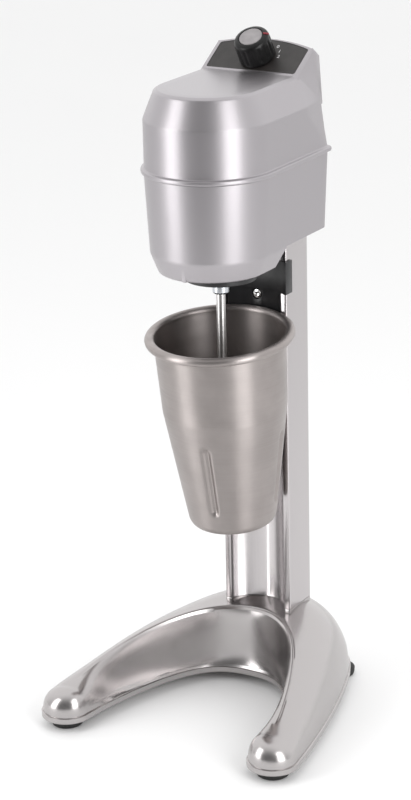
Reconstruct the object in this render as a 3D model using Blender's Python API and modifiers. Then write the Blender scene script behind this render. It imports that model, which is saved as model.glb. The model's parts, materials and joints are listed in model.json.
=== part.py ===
"""A single-spindle bar milkshake mixer that hangs its steel cup from the column.

Everything is modelled in a frame with the spindle axis at x = y = 0 and the counter at z = 0.
An empty then moves that frame along Y, so that the finished mixer stands on the middle of its base.
"""
import math

import bmesh
import bpy
from mathutils import Matrix, Vector

# ---------------------------------------------------------------- driving dimensions (metres)
GAP = 0.0003                    # left between two pieces that touch
FIT = 0.0004                    # clearance round a part in its hole
OVERSHOOT = 0.002               # how far a cutter runs past the face that it cuts

# base
TOE_X = 0.0858                  # centre of each toe, and of the foot under it
TOE_Y = -0.088
TOE_RADIUS = 0.0188
BASE_REAR = 0.115
REAR_ARC_RADIUS = 0.064
ARCH_Y = 0.031                  # deepest point of the open arch between the legs
CREST_Y = 0.042
CREST_HEIGHT = 0.058            # height of the crest at the column
CREST_TOE_HEIGHT = 0.0295       # and where it runs out on the toe
CREST_TOE_INSET = 0.0043        # the crest ends this far inside the toe centre
BASE_UNDERSIDE = 0.007
LIP_HEIGHT = 0.0045
LIP_STEP = 0.0012
BASE_WALL = 0.0045
STUB_TOP = 0.0605

# feet
FOOT_RADIUS = 0.012
REAR_FOOT_X = 0.050
REAR_FOOT_INSET = 0.035         # from the rear of the base
FOOT_EDGE = 0.0015              # how far the foot's edges are rounded or drawn in
FOOT_BOSS_RADIUS = 0.0075
FOOT_SCREW_RADIUS = 0.002
FOOT_SCREW_HEAD_RADIUS = 0.0038
FOOT_SCREW_TIP = 0.0137         # height of the screw's tip above the counter
FOOT_SCREW_SEAT = 0.0036

# column
COLUMN_WIDTH = 0.0553
COLUMN_FRONT = 0.045
COLUMN_BACK = 0.0772
COLUMN_TOP = 0.3497
COLUMN_WALL = 0.0026
RIB_WIDTH = 0.00508             # from the column's side to the groove
RIB_ROUNDING = 0.0012           # on the front corners, beside the groove
GROOVE_DEPTH = 0.0165
COLUMN_CORNER = 0.0015
PORT_FROM_SIDE = 0.00765
PORT_FROM_BACK = 0.0075
PORT_RADIUS = 0.0028
PORT_BLOCK = 0.0056             # half the width of the solid block round a screw port
BOLT_RADIUS = 0.0024
BOLT_HEAD_RADIUS = 0.0046
BOLT_HEAD_HEIGHT = 0.004
BOLT_BITE = 0.020               # length of a bolt in the column's screw port
WEB_BOSS_RADIUS = 0.0085        # bosses under the stub that the lower bolts pull on
WEB_BOSS_DROP = 0.0125
CABLE_HOLE_RADIUS = 0.0045
GLAND_HEIGHT = 0.082
GLAND_RADIUS = 0.0062
GLAND_BORE = 0.0035

# cup
CUP_RIM_RADIUS = 0.0535
CUP_RIM_DROP = 0.0417           # from the bracket's top
CUP_TILT = math.radians(5.64)
CUP_BEAD_RADIUS = 0.0031
CUP_KNEE_RADIUS = 0.0448
CUP_KNEE_DEPTH = 0.057
CUP_BOTTOM_RADIUS = 0.0305
CUP_DEPTH = 0.1463
CUP_WALL = 0.0009

# cup bracket and hook
BRACKET_DROP = 0.0197           # from the column's top
BRACKET_HEIGHT = 0.108
EAR_HEIGHT = 0.024
EAR_OVERHANG = 0.00155          # the ears stand this far past the column's sides
EAR_FRONT = 0.0413              # front edge of the ears, at their outer ends
EAR_HOLLOW = 0.007              # how far the face between the ears is hollowed
EAR_WRAP = 0.006                # how far the ears reach back along the column
GUIDE_CLEARANCE = 0.0006        # between the cup's rim and the bracket's hollow face
RIB_CLEARANCE = 0.00005         # between the cup's rim and the column's ribs
HOOK_TRAVEL = 0.003
HOOK_HALF_WIDTH = 0.009
HOOK_PLATE_HALF_WIDTH = 0.011
HOOK_PLATE_DEPTH = 0.003
HOOK_PLATE_HEIGHT = 0.0246
HOOK_PLATE_INSET = 0.0027       # the plate runs this far behind the bracket's face
HOOK_LEDGE_HEIGHT = 0.0056
ROD_X = 0.0085
ROD_WIDTH = 0.0036
ROD_THICKNESS = 0.002
ROD_SOCKET_DEPTH = 0.008
SPRING_RADIUS = 0.0028
SPRING_WIRE = 0.00035
SPRING_LENGTH = 0.0115
SPRING_TURNS = 4
BRACKET_SCREW_HEAD_RADIUS = 0.00375
BRACKET_SCREW_RADIUS = 0.002
BRACKET_SCREW_LENGTH = 0.015
SCREW_SEAT_DEPTH = 0.0026
UPPER_SCREW_DROP = 0.029        # from the bracket's top
LOWER_SCREW_DROP = 0.0072       # below the hook's pocket
BUMPER_HALF_WIDTH = 0.006
BUMPER_HEIGHT = 0.010
BUMPER_RISE = 0.004             # from the bracket's bottom

# microswitch that the hook works
LEVER_HALF_WIDTH = 0.0022
LEVER_REACH = 0.0185            # from the pivot to the lever's free end
LEVER_TAIL = 0.0012
LEVER_THICKNESS = 0.0008
LEVER_FROM_ROD = 0.016          # from the rod to the pivot
LEVER_RISE = 0.0030             # above the motor plate
MICROSWITCH_WIDTH = 0.0064
MICROSWITCH_LENGTH = 0.016
MICROSWITCH_HEIGHT = 0.010
MICROSWITCH_RISE = 0.0030       # above the lever

# head
HEAD_FRONT_CENTRE = -0.0102     # centre of the round front, seen from above
HEAD_STEP = 0.0147              # the front of the head hangs this far below its rear floor
STEP_FRONT = 0.010              # where the rear floor ends
HEAD_BOTTOM_RADIUS = 0.0381
CHAMFER_HEIGHT = 0.0140
CHAMFER_RADIUS = 0.0435
HEAD_REAR = 0.0782
HEAD_WALL = 0.0025
LOWER_SHELL_HEIGHT = 0.0721
SEAM_RADIUS = 0.0463
BEAD_PROUD = 0.0021
BEAD_HALF_HEIGHT = 0.0018
SHOULDER_RISE = 0.0355          # from the seam
SHOULDER_RADIUS = 0.0461
TOP_CHAMFER_HEIGHT = 0.0193
HEAD_TOP_RADIUS = 0.0382
CROWN_RISE = 0.0018
TOWER_HALF_WIDTH = 0.0382
PANEL_SLOPE = math.radians(32)
SLOPE_FRONT_Y = 0.0440
SLOPE_FRONT_RISE = 0.0016       # above the rim of the crown
PANEL_HALF_WIDTH = 0.0350
PANEL_FRONT_MARGIN = 0.0024
PANEL_SIDE_LENGTH = 0.0247
PANEL_BULGE = 0.0065            # the rear edge of the panel is this much longer in the middle
PANEL_THICKNESS = 0.0015
PANEL_LEDGE = 0.003
PANEL_CORNER = 0.0025
TAB_X = 0.030                   # tabs and screws that hold the two shells together
TAB_HALF_WIDTH = 0.006
TAB_THICKNESS = 0.003
TAB_DROP = 0.015
SHELL_SCREW_RADIUS = 0.0015
SHELL_SCREW_HEAD_RADIUS = 0.0032
SHELL_SCREW_LENGTH = 0.0085
SHELL_SCREW_DROP = 0.008        # below the seam

# knob and switch
KNOB_FROM_PANEL_FRONT = 0.0138  # knob axis, measured up the slope from the panel's front edge
KNOB_RADIUS = 0.0130
KNOB_TOP_RADIUS = 0.0127
KNOB_HEIGHT = 0.0186
KNOB_CAP_RADIUS = 0.0083
KNOB_CAP_THICKNESS = 0.001
KNOB_LIFT = 0.0008              # from the panel to the knob's skirt
KNOB_HOLLOW_RADIUS = 0.0072
KNOB_HOLLOW_HEIGHT = 0.0035
SWITCH_SHAFT_RADIUS = 0.003
SWITCH_SHAFT_REACH = 0.0105
NUT_RADIUS = 0.0058
NUT_HEIGHT = 0.0026
SWITCH_SIZE = 0.019
SWITCH_DEPTH = 0.012

# spindle and motor
SPINDLE_RADIUS = 0.0034
SPINDLE_REACH = 0.1693          # from the head's bottom down to the agitator
SPINDLE_TIP_RADIUS = 0.0022
AGITATOR_RADIUS = 0.014
COUPLING_RADIUS = 0.006
COUPLING_LENGTH = 0.011
BOSS_RADIUS = 0.027
BOSS_HEIGHT = 0.009
BOSS_NECK_RADIUS = 0.0105
PLATE_THICKNESS = 0.003
BEARING_RADIUS = 0.0100
BEARING_HEIGHT = 0.007
FAN_RADIUS = 0.0245
FAN_HEIGHT = 0.009
STATOR_RADIUS = 0.034
STATOR_BORE = 0.0195
STATOR_RISE = 0.0222            # above the motor plate
STATOR_HEIGHT = 0.030
COIL_HEIGHT = 0.006
COIL_RADIUS = 0.0248
ROTOR_RADIUS = 0.0188
COMMUTATOR_RADIUS = 0.009
COMMUTATOR_HEIGHT = 0.010
BRIDGE_RISE = 0.024             # above the stator
BRIDGE_THICKNESS = 0.003
BRIDGE_HALF_DEPTH = 0.0135
BRIDGE_LEG_RADIUS = 0.0031
MOTOR_BOLT_X = 0.0285
MOTOR_BOLT_RADIUS = 0.0018
MOTOR_BOLT_HEAD_RADIUS = 0.0034
MOTOR_BOLT_HEAD_HEIGHT = 0.0025
MOTOR_SPACER_RADIUS = 0.0030
BRUSH_HALF_WIDTH = 0.0021
BRUSH_HALF_HEIGHT = 0.0026
BRUSH_LENGTH = 0.0097
BRUSH_HOLDER_HALF_WIDTH = 0.0042
BRUSH_HOLDER_END = 0.024

# ---------------------------------------------------------------- worked out from them
BASE_FRONT = TOE_Y - TOE_RADIUS
SPINDLE_Y = -(BASE_FRONT + BASE_REAR) / 2
GROOVE_SAGITTA = GROOVE_DEPTH - RIB_ROUNDING
GROOVE_HALF_WIDTH = COLUMN_WIDTH / 2 - RIB_WIDTH
GROOVE_RADIUS = (GROOVE_HALF_WIDTH ** 2 + GROOVE_SAGITTA ** 2) / (2 * GROOVE_SAGITTA)
GROOVE_CENTRE = COLUMN_FRONT + GROOVE_DEPTH - GROOVE_RADIUS
GROOVE_BACK = COLUMN_FRONT + GROOVE_DEPTH
PORT_X = COLUMN_WIDTH / 2 - PORT_FROM_SIDE
PORT_Y = COLUMN_BACK - PORT_FROM_BACK
CABLE_Y = (GROOVE_BACK + COLUMN_BACK) / 2
HEAD_REAR_BOTTOM = COLUMN_TOP + GAP
HEAD_BOTTOM = HEAD_REAR_BOTTOM - HEAD_STEP
CHAMFER_TOP = HEAD_BOTTOM + CHAMFER_HEIGHT
SEAM_HEIGHT = HEAD_BOTTOM + LOWER_SHELL_HEIGHT
SHOULDER_HEIGHT = SEAM_HEIGHT + SHOULDER_RISE
HEAD_TOP = SHOULDER_HEIGHT + TOP_CHAMFER_HEIGHT
BRACKET_TOP = COLUMN_TOP - BRACKET_DROP
BRACKET_BOTTOM = BRACKET_TOP - BRACKET_HEIGHT
EAR_BOTTOM = BRACKET_TOP - EAR_HEIGHT
EAR_HALF_WIDTH = COLUMN_WIDTH / 2 + EAR_OVERHANG
RIB_EDGE = GROOVE_HALF_WIDTH + RIB_ROUNDING * 0.7   # half the mouth of the groove
CUP_RIM_Y = COLUMN_FRONT - math.sqrt((CUP_RIM_RADIUS + RIB_CLEARANCE) ** 2 - RIB_EDGE ** 2)
RIM_FACE = CUP_RIM_RADIUS + GUIDE_CLEARANCE
FACE_Y = CUP_RIM_Y + RIM_FACE                      # the bracket's face on the middle plane
CUP_RIM_HEIGHT = BRACKET_TOP - CUP_RIM_DROP
LEDGE_TOP = (CUP_RIM_HEIGHT + (CUP_RIM_RADIUS - CUP_BEAD_RADIUS) * math.sin(CUP_TILT)
             - 2 * CUP_BEAD_RADIUS * math.cos(CUP_TILT) - GAP)
PLATE_FRONT = FACE_Y + HOOK_PLATE_INSET
PLATE_BACK = PLATE_FRONT + HOOK_PLATE_DEPTH
POCKET_FLOOR = LEDGE_TOP - HOOK_PLATE_HEIGHT - SPRING_LENGTH - 2 * GAP
SCREW_HEIGHTS = {"upper": BRACKET_TOP - UPPER_SCREW_DROP, "lower": POCKET_FLOOR - LOWER_SCREW_DROP}
ROD_Y = (PLATE_FRONT + PLATE_BACK) / 2
HEAD_FLOOR = HEAD_REAR_BOTTOM + HEAD_WALL
PLATE_BOTTOM = HEAD_FLOOR + GAP
PLATE_TOP = PLATE_BOTTOM + PLATE_THICKNESS
LEVER_HEIGHT = PLATE_TOP + LEVER_RISE
STATOR_BOTTOM = PLATE_TOP + STATOR_RISE
STATOR_TOP = STATOR_BOTTOM + STATOR_HEIGHT
BRIDGE_BOTTOM = STATOR_TOP + BRIDGE_RISE
BRIDGE_TOP = BRIDGE_BOTTOM + BRIDGE_THICKNESS
SHAFT_ROOM = SPINDLE_RADIUS + GAP
BOSS_BOTTOM = HEAD_BOTTOM - BOSS_HEIGHT
COUPLING_TOP = BOSS_BOTTOM - GAP
COUPLING_BOTTOM = COUPLING_TOP - COUPLING_LENGTH
COUPLING_MIDDLE = (COUPLING_TOP + COUPLING_BOTTOM) / 2
AGITATOR_HEIGHT = HEAD_BOTTOM - SPINDLE_REACH
SLOPE_OUT = Vector((0, -math.sin(PANEL_SLOPE), math.cos(PANEL_SLOPE)))
SLOPE_UP = Vector((0, math.cos(PANEL_SLOPE), math.sin(PANEL_SLOPE)))
SLOPE_EDGE = Vector((0, SLOPE_FRONT_Y, HEAD_TOP + SLOPE_FRONT_RISE))
PANEL_EDGE = SLOPE_EDGE + SLOPE_UP * PANEL_FRONT_MARGIN
KNOB_SEAT = PANEL_EDGE + SLOPE_UP * KNOB_FROM_PANEL_FRONT
SIDES = {"left": -1, "right": 1}


# ---------------------------------------------------------------- helpers
for old in list(bpy.data.objects):
    bpy.data.objects.remove(old, do_unlink=True)

mixer = bpy.data.collections.new("milkshake_mixer")
cutters = bpy.data.collections.new("cutters")
bpy.context.scene.collection.children.link(mixer)
bpy.context.scene.collection.children.link(cutters)

spindle_axis = bpy.data.objects.new("spindle_axis", None)
spindle_axis.location = (0, SPINDLE_Y, 0)
mixer.objects.link(spindle_axis)


def material(name, colour, roughness, metallic=0.0):
    made = bpy.data.materials.new(name)
    made.use_nodes = True
    shader = made.node_tree.nodes["Principled BSDF"]
    shader.inputs["Base Color"].default_value = (*colour, 1.0)
    shader.inputs["Roughness"].default_value = roughness
    shader.inputs["Metallic"].default_value = metallic
    made.diffuse_color = (*colour, 1.0)
    return made


POLISHED = material("polished_aluminium", (0.80, 0.79, 0.78), 0.18, 1.0)
SATIN = material("satin_aluminium", (0.74, 0.73, 0.73), 0.35, 1.0)
PAINT = material("silver_paint", (0.62, 0.61, 0.62), 0.35, 0.6)
STEEL = material("stainless_steel", (0.62, 0.60, 0.57), 0.25, 1.0)
ZINC = material("zinc_plated_steel", (0.55, 0.56, 0.58), 0.35, 1.0)
BLACK = material("black_plastic", (0.03, 0.03, 0.03), 0.45)
RUBBER = material("black_rubber", (0.02, 0.02, 0.02), 0.8)
GREY = material("grey_plastic", (0.55, 0.55, 0.55), 0.4)
COPPER = material("enamelled_copper", (0.60, 0.22, 0.08), 0.35, 1.0)
LAMINATION = material("laminated_steel", (0.25, 0.25, 0.27), 0.5, 1.0)
CARBON = material("carbon", (0.05, 0.05, 0.05), 0.7)
BRASS = material("brass", (0.70, 0.50, 0.20), 0.35, 1.0)


def finish(piece, name, look):
    """Name a piece and put it in the mixer; a piece with no look is a cutter."""
    piece.name = name
    piece.data.name = name
    piece.parent = spindle_axis
    for shelf in list(piece.users_collection):
        shelf.objects.unlink(piece)
    if look is None:
        cutters.objects.link(piece)
        piece.hide_render = True
        piece.display_type = "WIRE"
    else:
        mixer.objects.link(piece)
        piece.data.materials.append(look)
        piece.data.shade_smooth()
        piece.data.set_sharp_from_angle(angle=math.radians(35))
    return piece


def from_bmesh(name, bm, look):
    mesh = bpy.data.meshes.new(name)
    bm.to_mesh(mesh)
    bm.free()
    return finish(bpy.data.objects.new(name, mesh), name, look)


def block(name, x, y, z, look=None, edge=0.0):
    """A box between two values on each axis, with its edges rounded if asked."""
    bm = bmesh.new()
    bmesh.ops.create_cube(bm, size=1.0)
    size = Vector((x[1] - x[0], y[1] - y[0], z[1] - z[0]))
    bmesh.ops.scale(bm, vec=size, verts=bm.verts)
    piece = from_bmesh(name, bm, look)
    piece.location = ((x[0] + x[1]) / 2, (y[0] + y[1]) / 2, (z[0] + z[1]) / 2)
    if edge:
        soften(piece, edge)
    return piece


def rod(name, radius, start, end, look=None, sides=24):
    """A round bar or hole from one point to another."""
    start = Vector(start)
    along = Vector(end) - start
    bm = bmesh.new()
    bmesh.ops.create_cone(bm, cap_ends=True, segments=sides, radius1=radius, radius2=radius,
                          depth=along.length)
    piece = from_bmesh(name, bm, look)
    piece.rotation_euler = along.to_track_quat("Z", "Y").to_euler()
    piece.location = start + along / 2
    return piece


def turned(name, profile, look=None, steps=32, at=(0, 0, 0), tilt=0.0):
    """A profile of (radius, height) points, down the outside, turned about Z."""
    mesh = bpy.data.meshes.new(name)
    points = [(radius, 0, height) for radius, height in profile]
    edges = [(i, i + 1) for i in range(len(points) - 1)]
    if profile[0][0] and profile[-1][0]:
        edges.append((len(points) - 1, 0))
    mesh.from_pydata(points, edges, [])
    piece = finish(bpy.data.objects.new(name, mesh), name, look)
    screw = piece.modifiers.new("turn", "SCREW")
    screw.steps = steps
    screw.render_steps = steps
    screw.use_merge_vertices = True
    screw.merge_threshold = 0.0001
    screw.use_smooth_shade = True
    piece.location = at
    piece.rotation_euler = (tilt, 0, 0)
    return piece


def from_curve(name, curve, look):
    """The mesh of a curve, with its caps welded on."""
    guide = bpy.data.objects.new(name, curve)
    bpy.context.scene.collection.objects.link(guide)
    graph = bpy.context.evaluated_depsgraph_get()
    mesh = bpy.data.meshes.new_from_object(guide.evaluated_get(graph))
    bpy.data.objects.remove(guide)
    bm = bmesh.new()
    bm.from_mesh(mesh)
    bmesh.ops.remove_doubles(bm, verts=bm.verts, dist=0.00001)
    bmesh.ops.recalc_face_normals(bm, faces=bm.faces)
    return from_bmesh(name, bm, look)


def prism(name, outlines, bottom, top, look=None):
    """Flat outlines, the later ones being holes in the first, raised from bottom to top."""
    curve = bpy.data.curves.new(name, "CURVE")
    curve.dimensions = "2D"
    curve.fill_mode = "BOTH"
    curve.extrude = (top - bottom) / 2
    for outline in outlines:
        spline = curve.splines.new("POLY")
        spline.points.add(len(outline) - 1)
        for point, (x, y) in zip(spline.points, outline):
            point.co = (x, y, 0, 1)
        spline.use_cyclic_u = True
    piece = from_curve(name, curve, look)
    piece.location = (0, 0, (bottom + top) / 2)
    return piece


def wire(name, points, radius, look=None):
    """A round wire through the given points, closed at both ends."""
    curve = bpy.data.curves.new(name, "CURVE")
    curve.dimensions = "3D"
    curve.bevel_depth = radius
    curve.bevel_resolution = 1
    curve.use_fill_caps = True
    spline = curve.splines.new("POLY")
    spline.points.add(len(points) - 1)
    for point, spot in zip(spline.points, points):
        point.co = (*spot, 1)
    return from_curve(name, curve, look)


def loft(name, rings, look=None):
    """A closed solid through rings that have the same number of points."""
    bm = bmesh.new()
    rows = [[bm.verts.new(point) for point in ring] for ring in rings]
    count = len(rows[0])
    for low, high in zip(rows, rows[1:]):
        for i in range(count):
            j = (i + 1) % count
            bm.faces.new((low[i], low[j], high[j], high[i]))
    bm.faces.new(rows[0])
    bm.faces.new(rows[-1])
    bmesh.ops.recalc_face_normals(bm, faces=bm.faces)
    return from_bmesh(name, bm, look)


def combine(piece, others, operation):
    for other in others:
        boolean = piece.modifiers.new(operation.lower() + "_" + other.name, "BOOLEAN")
        boolean.operation = operation
        boolean.object = other
    return piece


def cut(piece, *others):
    return combine(piece, others, "DIFFERENCE")


def join(piece, *others):
    return combine(piece, others, "UNION")


def soften(piece, width, segments=2):
    bevel = piece.modifiers.new("soft_edges", "BEVEL")
    bevel.width = width
    bevel.segments = segments
    bevel.limit_method = "ANGLE"
    bevel.angle_limit = math.radians(40)
    return piece


def arc(centre, radius, start, end, count):
    """Points along an arc, angles in degrees, anticlockwise from +X."""
    for i in range(count + 1):
        angle = math.radians(start + (end - start) * i / count)
        yield (centre[0] + radius * math.cos(angle), centre[1] + radius * math.sin(angle))


def hole(name, radius, x, y, low, high, sides=16):
    """A cutter for an upright round hole, which runs a little past both faces."""
    return rod(name, radius, (x, y, low - OVERSHOOT), (x, y, high + OVERSHOOT), sides=sides)


def circle(x, y, radius, count=20):
    return list(arc((x, y), radius, 0, 360 * (count - 1) / count, count - 1))


def shares(start, end, parts):
    """Points between two corners, each given by its share of the way along X and along Y."""
    return [Vector((start[0] + (end[0] - start[0]) * a, start[1] + (end[1] - start[1]) * b))
            for a, b in parts]


def smooth_path(points, count):
    """Evenly spaced points on a smooth curve through a few given ones."""
    ends = [points[0] * 2 - points[1]] + points + [points[-1] * 2 - points[-2]]
    fine = []
    for a, b, c, d in zip(ends, ends[1:], ends[2:], ends[3:]):
        for step in range(12):
            t = step / 12
            fine.append(0.5 * (2 * b + (c - a) * t + (2 * a - 5 * b + 4 * c - d) * t ** 2
                               + (3 * b - a - 3 * c + d) * t ** 3))
    fine.append(points[-1])
    reach = [0.0]
    for a, b in zip(fine, fine[1:]):
        reach.append(reach[-1] + (b - a).length)
    path = []
    k = 0
    for i in range(count + 1):
        goal = reach[-1] * i / count
        while k < len(reach) - 2 and reach[k + 1] < goal:
            k += 1
        t = (goal - reach[k]) / (reach[k + 1] - reach[k])
        path.append(fine[k].lerp(fine[k + 1], t))
    return path


# ---------------------------------------------------------------- base casting
LEG_STATIONS = 16
TOE_STEPS = 7
FLANK_POINTS = 7
# how far out, and at what share of the height, the steep side inside the legs runs
INNER_SIDE = [(0.0, 1.0), (0.2, 0.95), (0.4, 0.80), (0.53, 0.55), (0.62, 0.30), (0.78, 0.10), (1.0, 0.0)]


def flank(fullness):
    """The outer side as (distance, height) shares: a dome when full, a gentle slope when not."""
    power = 1.3 + 2.7 * fullness
    root = 1.0 - 0.3 * fullness
    steps = [i / (FLANK_POINTS - 1) for i in range(FLANK_POINTS)]
    return [(s, (1 - s ** power) ** root) for s in steps]


def blend(first, second, share):
    return [(a + (c - a) * share, b + (d - b) * share) for (a, b), (c, d) in zip(first, second)]


def base_lines():
    """Crest, inner edge and outer edge of the right leg, from the middle plane to the toe."""
    crest = smooth_path(shares((0, CREST_Y), (TOE_X - CREST_TOE_INSET, TOE_Y), [
        (0, 0), (0.288, 0.055), (0.422, 0.133), (0.523, 0.211), (0.606, 0.289), (0.748, 0.445),
        (0.887, 0.68), (0.944, 0.836), (1, 1)]), LEG_STATIONS)
    inner = smooth_path(shares((0, ARCH_Y), (TOE_X - TOE_RADIUS, TOE_Y), [
        (0, 0), (0.329, 0.028), (0.519, 0.118), (0.70, 0.315), (0.889, 0.617), (0.948, 0.795),
        (1, 1)]), LEG_STATIONS)
    centre = (0, BASE_REAR - REAR_ARC_RADIUS)
    rear = [Vector(point) for point in arc(centre, REAR_ARC_RADIUS, 90, 24, 5)]
    side = shares(rear[-1], (TOE_X + TOE_RADIUS, TOE_Y), [
        (0.216, 0.172), (0.41, 0.342), (0.608, 0.539), (0.764, 0.712), (0.89, 0.857), (1, 1)])
    outer = smooth_path(rear + side, LEG_STATIONS)
    return crest, inner, outer


def base_solid(name, inset, look=None):
    """The horseshoe as a closed solid, or the hollow inside it when inset by the wall."""
    crest, inner, outer = base_lines()
    lip_top = BASE_UNDERSIDE + LIP_HEIGHT
    floor = BASE_UNDERSIDE - (0.002 if inset else 0.0)

    def half_rib(top, height, edge, side):
        """Points from the crest down to the lip and under it."""
        out = edge - top
        out = out.normalized() * (out.length - inset)
        reach = out.length
        ledge = 1 - LIP_STEP / reach
        height -= inset
        points = []
        for a, b in side:
            spot = top + out * (a * ledge)
            points.append((spot.x, spot.y, lip_top + (height - lip_top) * b))
        rim = top + out
        points.append((rim.x, rim.y, lip_top - LIP_STEP / 2))
        points.append((rim.x, rim.y, floor))
        return points

    ribs = []
    heights = []
    for i in range(LEG_STATIONS + 1):
        along = (crest[0].y - crest[i].y) / (crest[0].y - crest[-1].y)
        heights.append(CREST_HEIGHT - (CREST_HEIGHT - CREST_TOE_HEIGHT) * along ** 1.6)
    for i in range(LEG_STATIONS + 1):
        t = min(1.0, i / (LEG_STATIONS * 0.55))
        full = 1 - t * t * (3 - 2 * t)
        ribs.append(half_rib(crest[i], heights[i], outer[i], flank(full)))
    for k in range(1, TOE_STEPS):
        turn = k / TOE_STEPS
        edge = Vector((TOE_X, TOE_Y)) + TOE_RADIUS * Vector((math.cos(math.pi * turn),
                                                            -math.sin(math.pi * turn)))
        side = blend(blend(flank(0.0), INNER_SIDE, turn), flank(0.35), math.sin(math.pi * turn))
        ribs.append(half_rib(crest[-1], heights[-1], edge, side))
    for i in reversed(range(LEG_STATIONS + 1)):
        ribs.append(half_rib(crest[i], heights[i], inner[i], INNER_SIDE))

    bm = bmesh.new()
    rows = [[bm.verts.new(point) for point in rib] for rib in ribs]
    for a, b in zip(rows, rows[1:]):
        for j in range(len(a) - 1):
            bm.faces.new((a[j], a[j + 1], b[j + 1], b[j]))
    bmesh.ops.remove_doubles(bm, verts=bm.verts, dist=0.00001)
    under = [v for v in bm.verts if abs(v.co.z - floor) < 0.00001]
    rim = [e for e in bm.edges if e.verts[0] in under and e.verts[1] in under and e.is_boundary]
    bmesh.ops.contextual_create(bm, geom=rim + [bm.edges.new((
        min((v for v in under if v.co.x < 0.00001), key=lambda v: v.co.y),
        max((v for v in under if v.co.x < 0.00001), key=lambda v: v.co.y)))])
    bmesh.ops.recalc_face_normals(bm, faces=bm.faces)
    piece = from_bmesh(name, bm, look)
    mirror = piece.modifiers.new("left_leg", "MIRROR")
    mirror.merge_threshold = 0.0001
    return piece


def column_outline(grow=0.0):
    """The column's section: flat back and sides, and a round groove down the front."""
    half = COLUMN_WIDTH / 2 + grow
    radius = GROOVE_RADIUS - grow
    front = COLUMN_FRONT - grow
    back = COLUMN_BACK + grow
    corner = COLUMN_CORNER
    nose = RIB_ROUNDING
    mouth = math.degrees(math.asin((front + nose - GROOVE_CENTRE) / radius))
    mouth_x = radius * math.cos(math.radians(mouth))
    lead_in = [(mouth_x + nose * 0.1, front + nose * 0.3), (mouth_x + nose * 0.7, front)]
    return (list(arc((half - nose, front + nose), nose, -90, 0, 3))
            + list(arc((half - corner, back - corner), corner, 0, 90, 3))
            + list(arc((-half + corner, back - corner), corner, 90, 180, 3))
            + list(arc((-half + nose, front + nose), nose, 180, 270, 3))
            + [(-x, y) for x, y in reversed(lead_in)]
            + list(reversed(list(arc((0, GROOVE_CENTRE), radius, mouth, 180 - mouth, 22))))
            + lead_in)


FOOT_PLACES = {"front_left": (-TOE_X, TOE_Y), "front_right": (TOE_X, TOE_Y),
               "rear_left": (-REAR_FOOT_X, BASE_REAR - REAR_FOOT_INSET),
               "rear_right": (REAR_FOOT_X, BASE_REAR - REAR_FOOT_INSET)}
STUB_ROOT = STUB_TOP - 0.020                 # the stub starts this low, well inside the casting
WEB_BOSS_BOTTOM = STUB_TOP - WEB_BOSS_DROP

casting = base_solid("base_casting", 0.0, POLISHED)
stub = prism("stub", [column_outline()], STUB_ROOT, STUB_TOP)
hollow = base_solid("base_hollow", BASE_WALL)
for place, (x, y) in FOOT_PLACES.items():
    cut(hollow, rod("boss_" + place, FOOT_BOSS_RADIUS, (x, y, 0), (x, y, STUB_TOP)))
for side, sign in SIDES.items():
    x = sign * PORT_X
    cut(hollow, rod("web_boss_" + side, WEB_BOSS_RADIUS, (x, PORT_Y, WEB_BOSS_BOTTOM),
                    (x, PORT_Y, STUB_TOP)))
join(casting, stub)
cut(casting, hollow)
for place, (x, y) in FOOT_PLACES.items():
    cut(casting, hole("thread_" + place, FOOT_SCREW_RADIUS + FIT, x, y, BASE_UNDERSIDE, FOOT_SCREW_TIP))
for side, sign in SIDES.items():
    cut(casting, hole("web_hole_" + side, BOLT_RADIUS + FIT, sign * PORT_X, PORT_Y, STUB_ROOT, STUB_TOP))
cut(casting, hole("web_cable_hole", CABLE_HOLE_RADIUS, 0, CABLE_Y, STUB_ROOT, STUB_TOP, sides=24))

# ---------------------------------------------------------------- feet
FOOT_TOP = BASE_UNDERSIDE - GAP
SCREW_HEAD_TOP = FOOT_SCREW_SEAT - GAP
SCREW_HEAD_BOTTOM = 0.0012
for place, (x, y) in FOOT_PLACES.items():
    turned("foot_" + place, [
        (FOOT_SCREW_RADIUS + FIT, FOOT_TOP), (FOOT_RADIUS - FOOT_EDGE, FOOT_TOP),
        (FOOT_RADIUS, FOOT_TOP - 0.001), (FOOT_RADIUS - 0.0008, 0.001), (FOOT_RADIUS - 0.0018, 0.0),
        (FOOT_SCREW_HEAD_RADIUS + 0.0012, 0.0), (FOOT_SCREW_HEAD_RADIUS + FIT, FOOT_SCREW_SEAT),
        (FOOT_SCREW_RADIUS + FIT, FOOT_SCREW_SEAT)], RUBBER, steps=20, at=(x, y, 0))
    turned("foot_screw_" + place, [
        (0, FOOT_SCREW_TIP), (FOOT_SCREW_RADIUS, FOOT_SCREW_TIP), (FOOT_SCREW_RADIUS, SCREW_HEAD_TOP),
        (FOOT_SCREW_HEAD_RADIUS, SCREW_HEAD_TOP), (FOOT_SCREW_HEAD_RADIUS - 0.0008, SCREW_HEAD_BOTTOM),
        (0, SCREW_HEAD_BOTTOM)], ZINC, steps=10, at=(x, y, 0))

# ---------------------------------------------------------------- column
def column_inside():
    """The hollow behind the groove, with a block in each rear corner round its screw port."""
    half = COLUMN_WIDTH / 2 - COLUMN_WALL
    back = COLUMN_BACK - COLUMN_WALL
    radius = GROOVE_RADIUS + COLUMN_WALL
    end = math.degrees(math.acos(min(1.0, half / radius)))
    edge = PORT_X - PORT_BLOCK
    front = PORT_Y - PORT_BLOCK
    return ([(-half, front), (-edge, front), (-edge, back), (edge, back), (edge, front), (half, front)]
            + list(arc((0, GROOVE_CENTRE), radius, end, 180 - end, 18)))


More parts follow.
